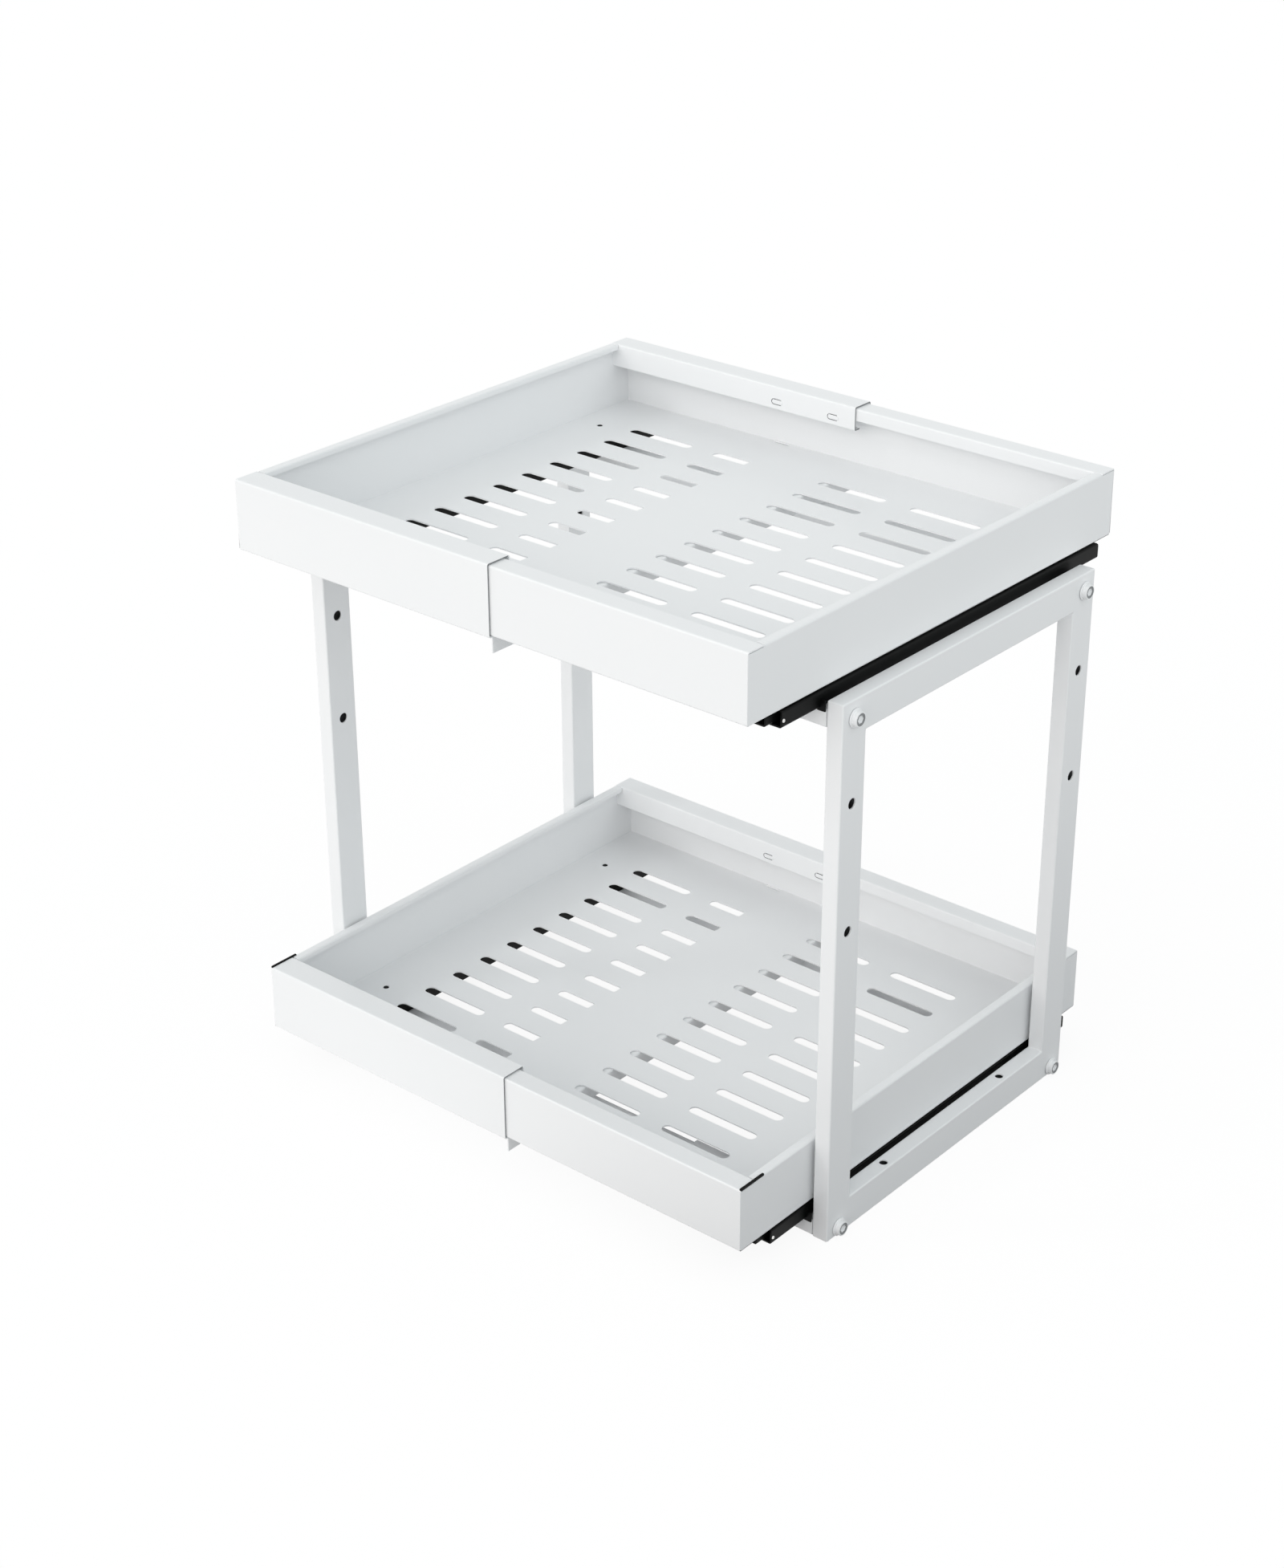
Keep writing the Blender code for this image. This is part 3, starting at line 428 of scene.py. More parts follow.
def flat_obround(length, width, segments):
    """A flat face with round ends, along X."""
    solid = bmesh.new()
    bmesh.ops.create_circle(solid, cap_ends=True, segments=segments, radius=width / 2,
                            matrix=Matrix.Rotation(math.pi / segments, 4, "Z"))
    for vert in solid.verts:
        vert.co.x += math.copysign((length - width) / 2, vert.co.x)
    return solid


def obround(centre, length, width, low, high, segments=28):
    """A prism with round ends, along X, from low to high in Z."""
    solid = flat_obround(length, width, segments)
    grow(solid, (0.0, 0.0, high - low))
    bmesh.ops.translate(solid, vec=(*centre, low), verts=solid.verts[:])
    return solid


def gathered(solids):
    """Several separate solids in one mesh."""
    group = bmesh.new()
    for solid in solids:
        mesh = bpy.data.meshes.new("held")
        solid.to_mesh(mesh)
        solid.free()
        group.from_mesh(mesh)
        bpy.data.meshes.remove(mesh)
    return group


def thicken(piece, thickness):
    wall = piece.modifiers.new("wall", "SOLIDIFY")
    wall.thickness = thickness
    wall.offset = -1.0
    wall.use_even_offset = True


def combine(piece, operation, solid, material=WHITE, wall=0.0):
    """A Boolean with a second solid, whose cut faces keep that solid's own material."""
    tool = new_piece(piece.name + "_tool", solid, material)
    if wall:
        thicken(tool, wall)
    modifier = piece.modifiers.new("combine", "BOOLEAN")
    modifier.operation = operation
    modifier.solver = "EXACT"
    modifier.material_mode = "TRANSFER"
    modifier.object = tool


def baked(piece):
    """Makes the modifiers' result the piece's own mesh, and clears the tools away."""
    tools = [modifier.object for modifier in piece.modifiers if modifier.type == "BOOLEAN"]
    bpy.context.view_layer.update()
    graph = bpy.context.evaluated_depsgraph_get()
    mesh = bpy.data.meshes.new_from_object(piece.evaluated_get(graph))
    piece.modifiers.clear()
    piece.data = mesh
    for tool in tools:
        bpy.data.objects.remove(tool, do_unlink=True)


def reworked(piece, work):
    """Runs a mesh operation on a baked piece."""
    solid = bmesh.new()
    solid.from_mesh(piece.data)
    work(solid)
    solid.to_mesh(piece.data)
    solid.free()


def finished(piece, body, material, *nodes, degrees=32.0):
    """Smooth shading with crisp edges, then the body, the finish and the nodes it stands for."""
    mesh = piece.data
    mesh.polygons.foreach_set("use_smooth", [True] * len(mesh.polygons))
    mesh.set_sharp_from_angle(angle=math.radians(degrees))
    weights = piece.modifiers.new("even_faces", "WEIGHTED_NORMAL")
    weights.mode = "FACE_AREA"
    weights.weight = 90
    weights.keep_sharp = True
    baked(piece)
    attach(piece, body)
    if nodes:
        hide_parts(*nodes)


# Trays

def tray_outline(half_depth, floor, top, lips_y, lip, lip_return):
    """From the front lip down to the floor and up to the back lip, as (Y, Z)."""
    halves = []
    for sign, lip_y in zip((-1, 1), lips_y):
        half = [(lip_y, top - lip), (lip_y, top), (sign * half_depth, top),
                (sign * half_depth, floor)]
        if lip_return:
            half.insert(0, (lip_y + sign * lip_return, top - lip))
        halves.append(half)
    return halves[0] + halves[1][::-1]


def end_wall(half_depth, floor, top, sign):
    """The side wall, with the same bends as the tray at its bottom corners. Its top stays inside
    the hem's fold, which it would leave open if both ended in one line."""
    low_x, high_x = sorted((sign * TRAY_HALF_WIDTH, sign * (TRAY_HALF_WIDTH - SHEET)))
    solid = block((low_x, -half_depth, floor), (high_x, half_depth, top - WALL_DROP))
    corners = [edge for edge in solid.edges
               if all(vert.co.z < floor + SEAM for vert in edge.verts)
               and abs(edge.verts[0].co.x - edge.verts[1].co.x) > SEAM]
    round_edges(solid, corners, FOLD, FOLD_STEPS)
    return solid


def hem_sheet(sign, top, lips_y):
    """The side wall's folded top edge, between the front and back flanges."""
    wall_x = sign * TRAY_HALF_WIDTH
    outline = [(wall_x - sign * HEM, top - HEM_LIP), (wall_x - sign * HEM, top), (wall_x, top),
               (wall_x, top - HEM_ROOT)]
    solid = folded(outline, lips_y[0] + SEAM, lips_y[1] - SEAM, False, FOLD, segments=5)
    turn_faces(solid, max, 1)
    return solid


def tray_shell(tier, side, floor, top, half_depth, outline, start, end, lips_y):
    """The folded sheet of one tray half, with its end wall and hem."""
    tray = new_piece(f"{tier}_{side}_tray_sheet",
                     folded(outline, start, end, True, FOLD, FOLD_STEPS), WHITE)
    thicken(tray, SHEET)
    combine(tray, "UNION", end_wall(half_depth, floor, top, SIDES[side]))
    combine(tray, "UNION", hem_sheet(SIDES[side], top, lips_y), wall=SHEET)
    return tray


def drain_slots(side, floor):
    return gathered([obround((x, y), SLOT_LENGTH, SLOT_WIDTH, floor - CLEAR,
                             floor + SHEET + CLEAR)
                     for x in SLOT_COLUMNS[side] for y in SLOT_ROWS])


def screw_holes(side, floor):
    """Holes for the tray screws, with a small dished edge above."""
    outline = [(0.0, -CUT), (SCREW_HOLE, -CUT), (SCREW_HOLE, DISH_ROOT), (DISH_RADIUS, DISH_TOP),
               (DISH_RADIUS, CUT), (0.0, CUT)]
    return gathered([turned(outline,
                            Matrix.Translation((SIDES[side] * SCREW_X, y, floor + SHEET)))
                     for y in SCREW_ROWS.values()])


def guide_slit(place):
    """A cutter for the C-shaped slit round a guide, open towards +X."""
    slit = flat_obround(GUIDE_LENGTH, GUIDE_WIDTH, GUIDE_STEPS)
    leave_ring(slit, GUIDE_SLIT)
    bmesh.ops.bisect_plane(slit, geom=whole(slit), plane_no=(1.0, 0.0, 0.0), clear_outer=True,
                           plane_co=((GUIDE_LENGTH - GUIDE_WIDTH) / 2, 0.0, 0.0))
    grow(slit, (0.0, 0.0, 2 * CUT))
    bmesh.ops.translate(slit, vec=(0.0, 0.0, -CUT), verts=slit.verts[:])
    return put(slit, place)


def guide_tab(place):
    """A guide's tab, pressed out a little from the lip and rounded at its rim."""
    length, width = (size - 2 * GUIDE_SLIT - 2 * GUIDE_GAP for size in (GUIDE_LENGTH, GUIDE_WIDTH))
    tab = obround((0.0, 0.0), length, width, -SHEET / 2, GUIDE_PROUD, GUIDE_STEPS)
    rim = [edge for edge in tab.edges if all(vert.co.z > 0.0 for vert in edge.verts)]
    round_edges(tab, rim, GUIDE_RIM, 3)
    return put(tab, place)


def guide_places(underside):
    """Each guide's place: its own +Z points out of the tray's inner face."""
    for sign, lip_y in zip((-1, 1), LEFT_LIPS_Y):
        for x in GUIDE_PLACES:
            yield (Matrix.Translation((x, lip_y, underside + GUIDE_HEIGHT))
                   @ Matrix.Rotation(sign * math.pi / 2, 4, "X"))


def make_gap_shadow_strip(side, front, top):
    """A thin black strip along the outer top edge, at the front corner of the lower tray: painted
    shade for the shadow in the gap there.
    """
    edge_x = TRAY_HALF_WIDTH + SEAM
    low_x, high_x = sorted((SIDES[side] * (edge_x - GAP_SHADOW_STRIP), SIDES[side] * edge_x))
    strip = block((low_x, front + PERIMETER, top - GAP_SHADOW_STRIP / 2),
                  (high_x, front + GAP_SHADOW_STRIP_LENGTH, top + GAP_SHADOW_STRIP / 2), GAP_SHADOW_STRIP / 4)
    piece = new_piece(f"lower_{side}_gap_shadow_strip", strip, BLACK)
    finished(piece, f"lower_{side}_tray_body", BLACK)


def round_perimeter(piece, sign, floor, top, half_depth):
    """Rounds the outer edge where the end wall meets the front, the floor, the back and the top."""
    edge_x = sign * TRAY_HALF_WIDTH

    def on_rim(vert):
        y, z = abs(vert.co.y), vert.co.z
        if abs(vert.co.x - edge_x) > NEAR:
            return False
        if min(abs(z - floor), abs(z - top), abs(y - half_depth)) < NEAR:
            return True
        return y > half_depth - FOLD and any(
            abs(math.hypot(y - (half_depth - FOLD), z - centre_z) - FOLD) < 1.5 * NEAR
            for centre_z in (floor + FOLD, top - FOLD))

    def work(solid):
        chosen = [edge for edge in sharp_edges(solid, degrees=50.0)
                  if all(on_rim(vert) for vert in edge.verts) and edge.calc_length() > SHORT_EDGE]
        round_edges(solid, chosen, PERIMETER, 3)
        for vert in solid.verts:
            vert.co.y = max(-half_depth, min(half_depth, vert.co.y))

    reworked(piece, work)


def paint_seam_shade(piece, floor, top):
    """Paints the sheet's end at the seam dark grey, as painted shade for the dark line along the
    seam.
    The front lip's end stays white."""
    dark = piece.data.materials.find(PAINTED_SHADE.name)
    for face in piece.data.polygons:
        x, y, z = face.center
        front_lip = LEFT_LIPS_Y[0] - FOLD < y < 0.0 and z < top - SHEET / 2
        if face.normal.x > 0.9 and x > SEAM_X - SEAM and z > floor + 2 * SHEET and not front_lip:
            face.material_index = dark


def finish_tray(tray, tier, side, floor, top, half_depth):
    baked(tray)
    round_perimeter(tray, SIDES[side], floor, top, half_depth)
    if side == "left":
        # Painted shade on the sheet's end along the seam
        paint_seam_shade(tray, floor, top)
    if tier == "lower":
        # Painted shade: a black strip for the gap's shadow at the front corner
        make_gap_shadow_strip(side, -half_depth, top)
    finished(tray, f"{tier}_{side}_tray_body", WHITE, f"{tier}_tray_{side}")


def make_left_tray(tier):
    """The outer half. At the seam its floor is bent down into a flange."""
    floor = TRAY_UNDERSIDE[tier]
    top = floor + TRAY_WALL
    outline = tray_outline(TRAY_HALF_DEPTH, floor, top, LEFT_LIPS_Y, LEFT_LIP, LEFT_LIP_RETURN)
    tray = tray_shell(tier, "left", floor, top, TRAY_HALF_DEPTH, outline, -TRAY_HALF_WIDTH, SEAM_X,
                      LEFT_LIPS_Y)
    combine(tray, "DIFFERENCE", block((SEAM_X - CUT, -DOWN_FLANGE_REACH, floor - SHEET),
                                      (SEAM_X + SHEET, DOWN_FLANGE_REACH, floor + CLEAR)))
    bend = [(SEAM_X - DOWN_FLANGE_ROOT, floor + SHEET), (SEAM_X, floor + SHEET),
            (SEAM_X, floor - DOWN_FLANGE)]
    flange = folded(bend, -DOWN_FLANGE_REACH, DOWN_FLANGE_REACH, False, DOWN_FLANGE_FOLD,
                    segments=4)
    turn_faces(flange, max, 1)
    combine(tray, "UNION", flange, wall=SHEET)
    combine(tray, "DIFFERENCE", drain_slots("left", floor))
    combine(tray, "DIFFERENCE", screw_holes("left", floor))
    # The slits' walls are painted dark grey: painted shade inside the slits
    combine(tray, "DIFFERENCE", gathered(map(guide_slit, guide_places(floor))), PAINTED_SHADE)
    combine(tray, "UNION", gathered(map(guide_tab, guide_places(floor))))
    finish_tray(tray, tier, "left", floor, top, TRAY_HALF_DEPTH)


def make_right_tray(tier):
    """The half that slides into the left one. Its screw seats are pressed down to the runners."""
    under = TRAY_UNDERSIDE[tier]
    floor, top = under + NEST, under + TRAY_WALL - NEST
    half_depth = TRAY_HALF_DEPTH - NEST
    outline = tray_outline(half_depth, floor, top, RIGHT_LIPS_Y, RIGHT_LIP, 0.0)
    tray = tray_shell(tier, "right", floor, top, half_depth, outline, RIGHT_WALL_EDGE,
                      TRAY_HALF_WIDTH, RIGHT_LIPS_Y)
    reach = half_depth - FOLD - SHEET
    combine(tray, "DIFFERENCE", block((RIGHT_WALL_EDGE - CLEAR, -reach, floor - CLEAR),
                                      (RIGHT_FLOOR_EDGE, reach, floor + 2 * CLEAR)))
    seats, dimples = [], []
    for y in SCREW_ROWS.values():
        place = Matrix.Translation((SCREW_X, y, under))
        seats.append(turned([(0.0, 0.0), (SEAT_FOOT, 0.0), (SEAT_ROOT, NEST + SHEET / 2),
                             (0.0, NEST + SHEET / 2)], place))
        dimples.append(turned([(0.0, SHEET), (DIMPLE_FLOOR, SHEET),
                               (DIMPLE_MOUTH, NEST + SHEET + DIMPLE_RIM),
                               (DIMPLE_MOUTH, DIMPLE_TOP), (0.0, DIMPLE_TOP)], place))
    combine(tray, "UNION", gathered(seats))
    combine(tray, "DIFFERENCE", gathered(dimples))
    combine(tray, "DIFFERENCE", drain_slots("right", floor))
    combine(tray, "DIFFERENCE", screw_holes("right", under))
    finish_tray(tray, tier, "right", floor, top, half_depth)


def make_tray_screw(tier, side, end):
    """A flat-headed screw put in from below, its tip level with the tray floor."""
    seat = SLIDE_UNDERSIDE[tier] + SCREW_SEAT
    place = Matrix.Translation((SIDES[side] * SCREW_X, SCREW_ROWS[end], seat))
    tip = TRAY_UNDERSIDE[tier] + SHEET - seat
    screw = turned([(0.0, tip), (SCREW_SHANK, tip), (SCREW_SHANK, 0.0), (SCREW_HEAD, 0.0),
                    (SCREW_HEAD, -SCREW_HEAD_DEPTH), (0.0, -SCREW_HEAD_DEPTH)], place, 24)
    soften(screw, SCREW_EDGE)
    piece = new_piece(f"{tier}_{side}_{end}_flat_screw", screw, BLACK)
    cross = gathered([block((-CROSS_ARM, -CROSS_HALF_WIDTH, -CLEAR),
                            (CROSS_ARM, CROSS_HALF_WIDTH, -CROSS_TOP)),
                      block((-CROSS_HALF_WIDTH, -CROSS_ARM, -CLEAR),
                            (CROSS_HALF_WIDTH, CROSS_ARM, -CROSS_TOP - WELD))])
    combine(piece, "DIFFERENCE", put(cross, place), BLACK)
    piece.modifiers[-1].use_self = True
    baked(piece)
    finished(piece, f"{tier}_{side}_tray_body", BLACK, f"{tier}_{side}_{end}_tray_screw")


# Side frames

def along(axis, sign=1):
    """Turns +Z to point along another axis."""
    up = Vector((0.0, 0.0, 1.0))
    return up.rotation_difference(Vector(axis) * sign).to_matrix().to_4x4()


def through_hole(centre, axis, radius, half_length, thickness):
    """A cutter for a round hole through a tube, with eased rims on both faces."""
    outline = [(0.0, -half_length), (radius + HOLE_RIM, -half_length),
               (radius + HOLE_RIM, -thickness / 2), (radius, HOLE_RIM - thickness / 2),
               (radius, thickness / 2 - HOLE_RIM), (radius + HOLE_RIM, thickness / 2),
               (radius + HOLE_RIM, half_length), (0.0, half_length)]
    return turned(outline, Matrix.Translation(centre) @ along(axis), 28)


def frame_solid(low_x, high_x):
    """The welded frame as one smooth piece: a slab with a window, and rounded edges."""
    solid = block((low_x, FRAME_LOW_Y, 0.0), (high_x, FRAME_HIGH_Y, FRAME_HEIGHT))
    for axis, places in (((0.0, 1.0, 0.0), (FRAME_LOW_Y + TUBE_FACE, FRAME_HIGH_Y - TUBE_FACE)),
                         ((0.0, 0.0, 1.0), (TUBE_FACE, FRAME_HEIGHT - TUBE_FACE))):
        for place in places:
            bmesh.ops.bisect_plane(solid, geom=whole(solid), plane_co=Vector(axis) * place,
                                   plane_no=axis)
    middle = Vector((0.0, (FRAME_LOW_Y + FRAME_HIGH_Y) / 2, FRAME_HEIGHT / 2))
    panes = [face for face in solid.faces if abs(face.normal.x) > 0.9
             and (face.calc_center_median() - middle).yz.length < NEAR]
    rims = [edge for pane in panes for edge in pane.edges]
    bmesh.ops.delete(solid, geom=panes, context="FACES_ONLY")
    bmesh.ops.bridge_loops(solid, edges=rims)
    bmesh.ops.recalc_face_normals(solid, faces=solid.faces[:])
    soften(solid, TUBE_ROUND, TUBE_ROUND_STEPS, degrees=60.0)
    return solid


def frame_bores(centre_x):
    """The hollows of the two rails and, between them, of the two posts."""
    half_bore = TUBE_THICK / 2 - TUBE_WALL
    bores = [block((centre_x - half_bore, FRAME_LOW_Y + TUBE_WALL,
                    level - TUBE_FACE / 2 + TUBE_WALL),
                   (centre_x + half_bore, FRAME_HIGH_Y - TUBE_WALL,
                    level + TUBE_FACE / 2 - TUBE_WALL))
             for level in (TUBE_FACE / 2, FRAME_HEIGHT - TUBE_FACE / 2)]
    bores += [block((centre_x - half_bore, y - TUBE_FACE / 2 + TUBE_WALL, TUBE_FACE + TUBE_WALL),
                    (centre_x + half_bore, y + TUBE_FACE / 2 - TUBE_WALL,
                     FRAME_HEIGHT - TUBE_FACE - TUBE_WALL))
              for y in BAR_ROWS.values()]
    return gathered(bores)


def make_side_frame(side):
    low_x, high_x = sorted((SIDES[side] * FRAME_INNER, SIDES[side] * (FRAME_INNER + TUBE_THICK)))
    centre_x = (low_x + high_x) / 2
    piece = new_piece(f"{side}_side_frame", frame_solid(low_x, high_x), WHITE)
    combine(piece, "DIFFERENCE", frame_bores(centre_x), INSIDE)
    holes = []
    for end, y in BAR_ROWS.items():
        for z, radius in ((HIGH_POST_HOLE, POST_HOLE), (LOW_POST_HOLE[side, end], POST_HOLE),
                          (BAR_HEIGHT["upper"], BOLT_HOLE), (BAR_HEIGHT["lower"], BOLT_HOLE)):
            holes.append(through_hole((centre_x, y, z), (1.0, 0.0, 0.0), radius, HOLE_REACH,
                                      TUBE_THICK))
    for y in FLOOR_HOLE_ROWS:
        holes.append(through_hole((centre_x, y, TUBE_FACE / 2), (0.0, 0.0, 1.0), FLOOR_HOLE,
                                  FLOOR_HOLE_REACH, TUBE_FACE))
    combine(piece, "DIFFERENCE", gathered(holes))
    baked(piece)
    finished(piece, f"{side}_side", WHITE, f"{side}_top_rail", f"{side}_bottom_rail",
             f"{side}_front_post", f"{side}_back_post")


def make_corner_bolt(tier, side, end):
    """A flanged cap bolt with a hexagon socket, pointing outwards from the rail."""
    x = SIDES[side] * (FRAME_INNER + TUBE_THICK + BOLT_GAP)
    place = (Matrix.Translation((x, BAR_ROWS[end], BAR_HEIGHT[tier]))
             @ along((1.0, 0.0, 0.0), SIDES[side]))
    outline = [(0.0, BOLT_TOP), (BOLT_HEAD, BOLT_TOP), (BOLT_HEAD, BOLT_FLANGE_TOP),
               (BOLT_FLANGE, BOLT_FLANGE_TOP), (BOLT_FLANGE, 0.0), (BOLT_SHANK, 0.0),
               (BOLT_SHANK, BOLT_END), (0.0, BOLT_END)]
    solid = turned(outline, Matrix.Identity(4), BOLT_STEPS)
    soften(solid, BOLT_EDGE, 4)
    piece = new_piece(f"{tier}_{side}_{end}_cap_bolt", put(solid, place), WHITE)
    hexagon = bmesh.new()
    bmesh.ops.create_cone(hexagon, cap_ends=True, segments=6, radius1=SOCKET_RADIUS,
                          radius2=SOCKET_RADIUS, depth=2 * SOCKET_DEPTH,
                          matrix=Matrix.Translation((0.0, 0.0, BOLT_TOP)))
    mouth = turned([(0.0, MOUTH_LOW), (MOUTH_FLOOR, MOUTH_LOW), (MOUTH_RIM, BOLT_TOP),
                    (MOUTH_RIM, MOUTH_HIGH), (0.0, MOUTH_HIGH)], place, BOLT_STEPS)
    combine(piece, "DIFFERENCE", put(hexagon, place))
    # The mouth's groove round the socket is painted dark grey: painted shade in the recess
    combine(piece, "DIFFERENCE", mouth, PAINTED_SHADE)
    baked(piece)
    finished(piece, f"{side}_side", WHITE, f"{tier}_{side}_{end}_bolt")


# Cross bars

def rect_tube(start, end, y, z, inset, wall, closed_at=None):
    """Drawn rectangular tube along X with round corners, smaller all round by the inset. The end
    against a rail is closed."""
    face, thick = TUBE_FACE - 2 * inset, TUBE_THICK - 2 * inset
    solid = bmesh.new()
    bmesh.ops.create_grid(solid, x_segments=1, y_segments=1, size=0.5,
                          matrix=Matrix.Rotation(math.pi / 2, 4, "Y"))
    bmesh.ops.scale(solid, vec=(1.0, face, thick), verts=solid.verts[:])
    bmesh.ops.bevel(solid, geom=solid.verts[:], offset=TUBE_ROUND, offset_type="OFFSET",
                    segments=TUBE_ROUND_STEPS, profile=0.5, affect="VERTICES", material=-1)
    leave_ring(solid, wall)
    grow(solid, (end - start, 0.0, 0.0))
    bmesh.ops.translate(solid, vec=(start, y, z), verts=solid.verts[:])
    if closed_at is not None:
        inward = math.copysign(PLUG, (start + end) / 2 - closed_at)
        low_x, high_x = sorted((closed_at, closed_at + inward))
        solid = gathered([solid, block((low_x, y - face / 2 + wall, z - thick / 2 + wall),
                                       (high_x, y + face / 2 - wall, z + thick / 2 - wall))])
    return solid


def make_cross_bar(tier, end):
    y, z = BAR_ROWS[end], BAR_HEIGHT[tier]
    for side, (start, stop) in OUTER_TUBES.items():
        tube = rect_tube(start, stop, y, z, 0.0, TUBE_WALL, max(start, stop, key=abs))
        bar = new_piece(f"{tier}_{end}_outer_tube_{side}", tube, WHITE)
        finished(bar, f"{side}_side", WHITE, f"{tier}_{end}_bar_{side}")
    insert = new_piece(f"{tier}_{end}_inner_tube",
                       rect_tube(*INNER_TUBE, y, z, INNER_INSET, INNER_WALL), WHITE)
    finished(insert, "right_side", WHITE, f"{tier}_{end}_bar_insert")


# Slides

def channel(half, low, high, lip, opens_up):
    """A slide member's outline: a web with two flanks and two lips."""
    if opens_up:
        return [(lip - half, high), (-half, high), (-half, low), (half, low), (half, high),
                (half - lip, high)]
    return [(half - lip, low), (half, low), (half, high), (-half, high), (-half, low),
            (lip - half, low)]


def bar_ear(x, z, sign):
    """The base's ear: it hooks over the front cross bar's edge and rests against the post."""
    front = BAR_ROWS["front"] - TUBE_FACE / 2 - SEAM
    plates = []
    for inner, top in EAR_PLATES:
        low_x, high_x = sorted((x + sign * inner, x + sign * EAR_REACH))
        plate = block((low_x, front - SLIDE_SHEET, z - EAR_DROP), (high_x, front, z + top))
        corner = [edge for edge in plate.edges
                  if all(abs(vert.co.x - x) < inner + SEAM and vert.co.z < z - EAR_DROP / 2
                         for vert in edge.verts)]
        round_edges(plate, corner, EAR_ROUND, 4)
        plates.append(plate)
    return plates


def base_studs(x, z):
    """The bright studs in the base's flanks, one on each side."""
    return [turned(STUD_OUTLINE,
                   Matrix.Translation((x + sign * BASE_PROFILE[0], BASE_FRONT + STUD_SETBACK,
                                       z + STUD_HEIGHT)) @ along((1.0, 0.0, 0.0), sign), 20)
            for sign in (-1, 1)]


def runner_holes(x, z):
    outline = [(0.0, -2 * CLEAR), (SCREW_HOLE, -2 * CLEAR), (SCREW_HOLE, 2 * CLEAR),
               (0.0, 2 * CLEAR)]
    return [turned(outline, Matrix.Translation((x, y, z + RUNNER_WEB)), 24)
            for y in SCREW_ROWS.values()]


def make_member(name, profile, x, z, front, back, body, node, holes=(), studs=(), ears=()):
    """One slide member, rounded at its rear top edge."""
    placed = [(x + a, z + b) for a, b in channel(*profile)]
    low, top = (pick(b for a, b in placed) for pick in (min, max))
    reach = profile[0] + CLEAR
    piece = new_piece(name, folded(placed, front, back, False, SLIDE_FOLD, SLIDE_FOLD_STEPS),
                      BLACK)
    thicken(piece, SLIDE_SHEET)
    envelope = block((x - reach, front - CLEAR, low - CLEAR), (x + reach, back, top + WELD))
    rear_top = [edge for edge in envelope.edges
                if all(abs(vert.co.y - back) < SEAM and vert.co.z > top - SEAM
                       for vert in edge.verts)]
    round_edges(envelope, rear_top, END_ROUND, 6)
    combine(piece, "INTERSECT", envelope, BLACK)
    if holes:
        combine(piece, "DIFFERENCE", gathered(holes), BLACK)
    for ear in ears:
        combine(piece, "UNION", ear, BLACK)
    if studs:
        combine(piece, "UNION", gathered(studs), STEEL)
    baked(piece)
    finished(piece, body, BLACK, node)


def make_cage(name, x, z, cage, body, node):
    """A strip bent round the inner member, with a row of balls in each of its sides."""
    front, half, floor, top, ball_z, ball_radius = cage
    outline = [(x - half, z + top), (x - half, z + floor), (x + half, z + floor),
               (x + half, z + top)]
    piece = new_piece(name, folded(outline, front, front + CAGE_LENGTH, False, CAGE_FOLD, 3),
                      STEEL)
    thicken(piece, CAGE_SHEET)
    baked(piece)
    pitch = (CAGE_LENGTH - 2 * BALL_MARGIN) / (CAGE_BALLS - 1)
    spots = [(x + sign * (half - BALL_INSET), front + BALL_MARGIN + ball * pitch, z + ball_z)
             for sign in (-1, 1) for ball in range(CAGE_BALLS)]

    def add_balls(solid):
        for spot in spots:
            bmesh.ops.create_uvsphere(solid, u_segments=10, v_segments=6, radius=ball_radius,
                                      matrix=Matrix.Translation(spot))

    reworked(piece, add_balls)
    finished(piece, body, STEEL, node, degrees=50.0)


def make_slide(tier, side):
    x = SIDES[side] * SCREW_X
    z = SLIDE_UNDERSIDE[tier]
    stem = f"{tier}_{side}"
    make_member(stem + "_slide_base_channel", BASE_PROFILE, x, z, BASE_FRONT, BASE_BACK,
                f"{side}_side", stem + "_slide_base", studs=base_studs(x, z),
                ears=bar_ear(x, z, SIDES[side]))
    make_member(stem + "_slide_middle_channel", MIDDLE_PROFILE, x, z, MEMBER_FRONT, MIDDLE_BACK,
                stem + "_middle_body", stem + "_slide_middle")
    make_member(stem + "_slide_runner_channel", RUNNER_PROFILE, x, z, MEMBER_FRONT, RUNNER_BACK,
                stem + "_tray_body", stem + "_slide_runner", holes=runner_holes(x, z))
    make_cage(stem + "_outer_ball_row", x, z, OUTER_CAGE, stem + "_outer_cage_body",
              stem + "_outer_cage")
    make_cage(stem + "_inner_ball_row", x, z, INNER_CAGE, stem + "_inner_cage_body",
              stem + "_inner_cage")


for tier in TRAY_UNDERSIDE:
    make_left_tray(tier)
    make_right_tray(tier)
    for end in ENDS:
        make_cross_bar(tier, end)
    for side in SIDES:
        make_slide(tier, side)
        for end in ENDS:
            make_tray_screw(tier, side, end)
            make_corner_bolt(tier, side, end)
for side in SIDES:
    make_side_frame(side)


# Camera, light and floor

camera_data = bpy.data.cameras.new("camera")
camera_data.sensor_fit = "AUTO"
camera_data.sensor_width = 36.0
camera_data.lens = 64.2562
camera_data.shift_x = -0.036274
camera_data.shift_y = 0.005158
camera = bpy.data.objects.new("camera", camera_data)
camera.location = (1.143011, -1.375621, 1.126866)
camera.rotation_euler = Euler([math.radians(turn) for turn in (62.982725, -0.277731, 39.391023)])
bpy.context.scene.collection.objects.link(camera)
bpy.context.scene.camera = camera

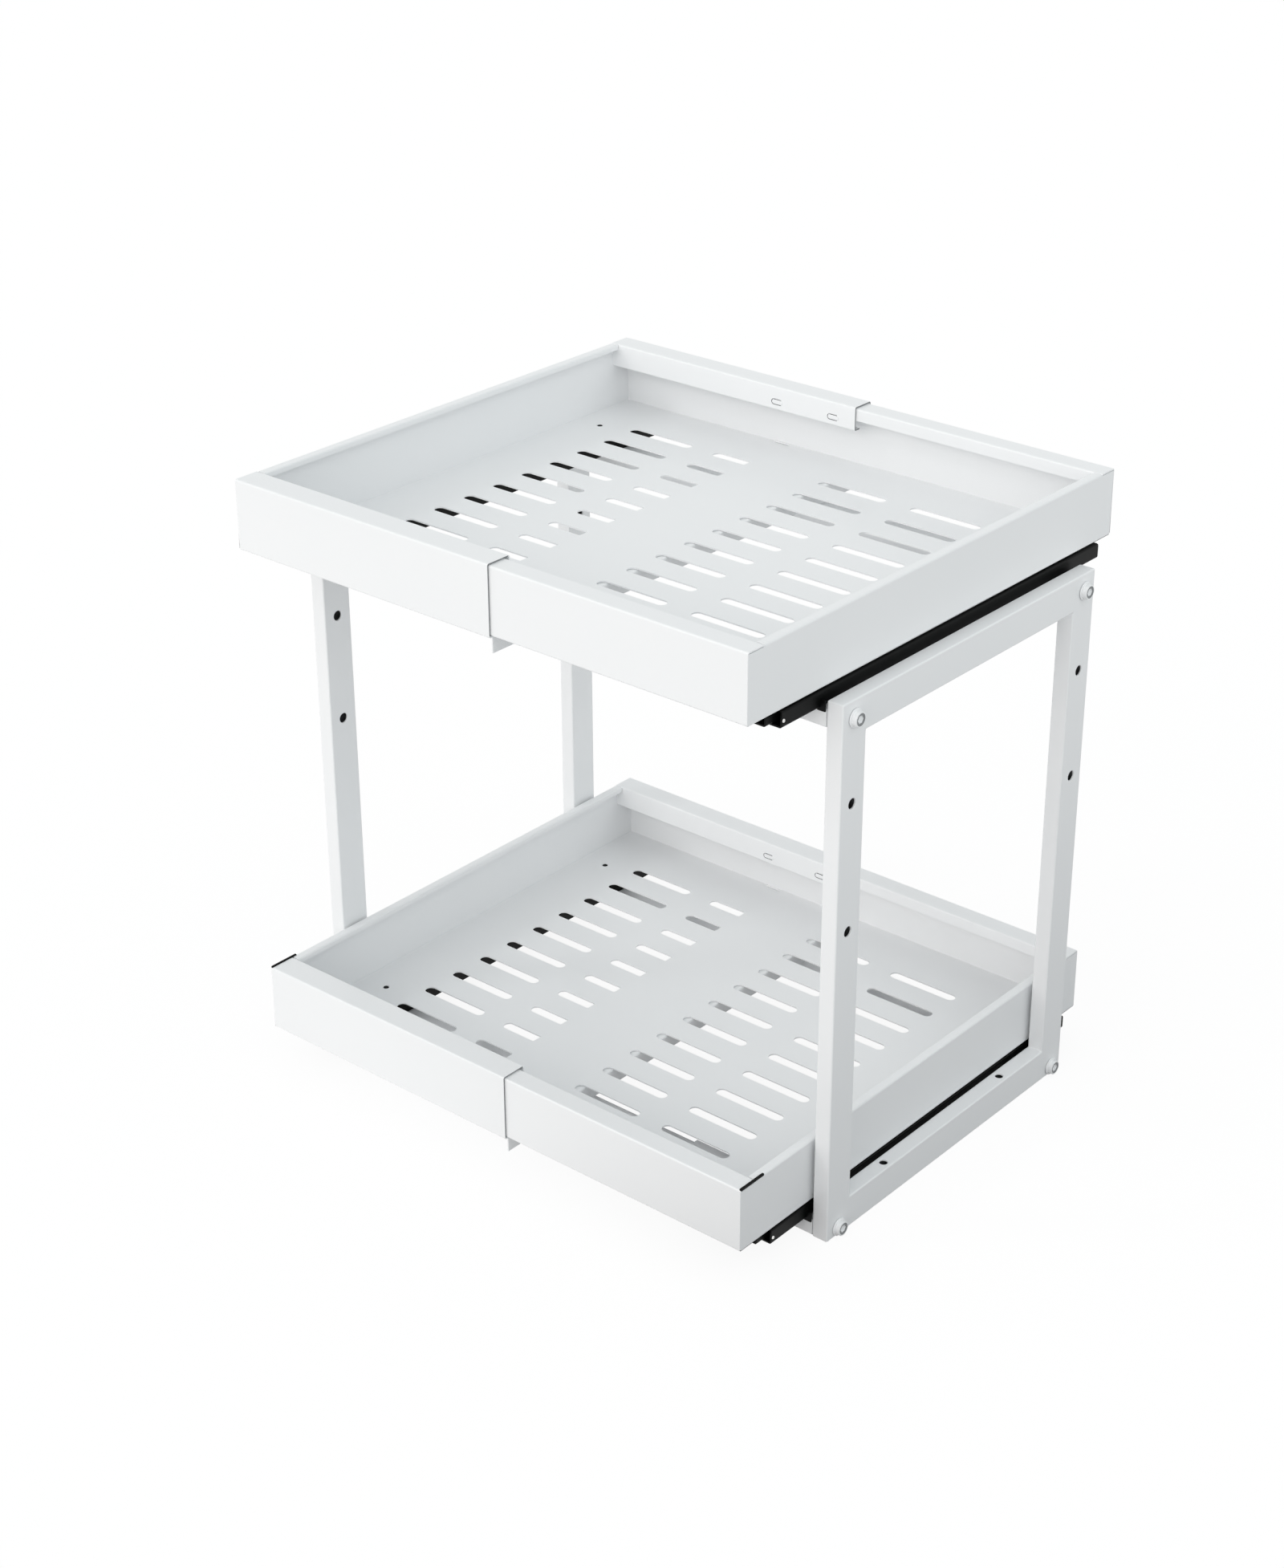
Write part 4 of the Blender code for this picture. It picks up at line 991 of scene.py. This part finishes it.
# Each light's name, strength, angle across, colour, and the way to it from the object
for name, energy, angle, colour, source in (
        ("soft_key", 1.18, 66.0, (1.0, 0.93, 0.895), (-0.06, -1.0, 0.21)),
        ("right_fill", 0.36, 80.0, (0.93, 0.98, 1.0), (1.0, -0.2, 0.6)),
        ("edge_glint", 0.20, 10.0, (1.0, 1.0, 1.0), (-0.55, -0.52, 0.65))):
    sun_data = bpy.data.lights.new(name, "SUN")
    sun_data.energy = energy
    sun_data.angle = math.radians(angle)
    sun_data.color = colour
    sun = bpy.data.objects.new(name, sun_data)
    sun.rotation_euler = Vector(source).to_track_quat("Z", "Y").to_euler()
    bpy.context.scene.collection.objects.link(sun)


def stage_node(tree, kind, **values):
    """A new node, with some of its inputs set."""
    node = tree.nodes.new(kind)
    for label, value in values.items():
        node.inputs[label].default_value = value
    return node


def added(tree, *shaders):
    both = tree.nodes.new("ShaderNodeAddShader")
    for shader, socket in zip(shaders, both.inputs):
        tree.links.new(shader.outputs[0], socket)
    return both


def split_by_ray(tree, unseen, seen, output):
    """Camera, glossy and transmission rays meet the seen shader, all others the unseen one."""
    rays = tree.nodes.new("ShaderNodeLightPath")
    factor = rays.outputs["Is Camera Ray"]
    for kind in ("Is Glossy Ray", "Is Transmission Ray"):
        either = tree.nodes.new("ShaderNodeMath")
        either.operation = "MAXIMUM"
        tree.links.new(factor, either.inputs[0])
        tree.links.new(rays.outputs[kind], either.inputs[1])
        factor = either.outputs[0]
    blend = tree.nodes.new("ShaderNodeMixShader")
    for source, socket in zip((factor, unseen.outputs[0], seen.outputs[0]), blend.inputs):
        tree.links.new(source, socket)
    tree.links.new(blend.outputs[0], tree.nodes.new(output).inputs["Surface"])


world = bpy.data.worlds.new("studio")
bpy.context.scene.world = world
world.use_nodes = True
sky = world.node_tree
sky.nodes.clear()
split_by_ray(sky,
             stage_node(sky, "ShaderNodeBackground", Strength=0.68, Color=(0.965, 0.998, 1.0, 1.0)),
             stage_node(sky, "ShaderNodeBackground", Strength=1.0, Color=(1.0, 1.0, 1.0, 1.0)),
             "ShaderNodeOutputWorld")


def floor_paint():
    """Pale where it is seen. The light that it gives back is weaker to the object's right, by a
    painted shadow, and a painted glow of its own adds light from below.
    """
    paint = bpy.data.materials.new("pale_floor")
    paint.use_nodes = True
    tree = paint.node_tree
    tree.nodes.clear()
    spot = stage_node(tree, "ShaderNodeMapping", Location=(-0.82, 0.0, 0.0), Scale=(1.6, 1.3, 1.6))
    tree.links.new(tree.nodes.new("ShaderNodeTexCoord").outputs["Object"], spot.inputs["Vector"])
    shade = tree.nodes.new("ShaderNodeTexGradient")
    shade.gradient_type = "SPHERICAL"
    tree.links.new(spot.outputs[0], shade.inputs[0])
    tone = tree.nodes.new("ShaderNodeValToRGB")
    tree.links.new(shade.outputs["Fac"], tone.inputs[0])
    # Painted shadow: darker to the object's right, for the light the floor gives back
    stops = ((0.05, (0.56, 0.56, 0.56, 1.0)), (0.48, (0.09, 0.09, 0.095, 1.0)))
    for point, (place, colour) in zip(tone.color_ramp.elements, stops):
        point.position = place
        point.color = colour
    plain = stage_node(tree, "ShaderNodeBsdfDiffuse")
    # Painted glow: the floor gives off light of its own to the object
    painted_glow = stage_node(tree, "ShaderNodeEmission", Strength=0.45)
    for shader in (plain, painted_glow):
        tree.links.new(tone.outputs[0], shader.inputs["Color"])
    shadowed = stage_node(tree, "ShaderNodeBsdfDiffuse", Color=(0.10, 0.10, 0.10, 1.0))
    glow = stage_node(tree, "ShaderNodeEmission", Color=(1.0, 1.0, 1.0, 1.0), Strength=0.915)
    split_by_ray(tree, added(tree, plain, painted_glow), added(tree, shadowed, glow),
                 "ShaderNodeOutputMaterial")
    return paint


floor_grid = bmesh.new()
bmesh.ops.create_grid(floor_grid, x_segments=1, y_segments=1, size=15.0)
floor = new_piece("studio_floor", floor_grid, floor_paint())
floor.location = (0.0, 0.0, -0.0002)

bpy.context.scene.view_settings.view_transform = "Standard"
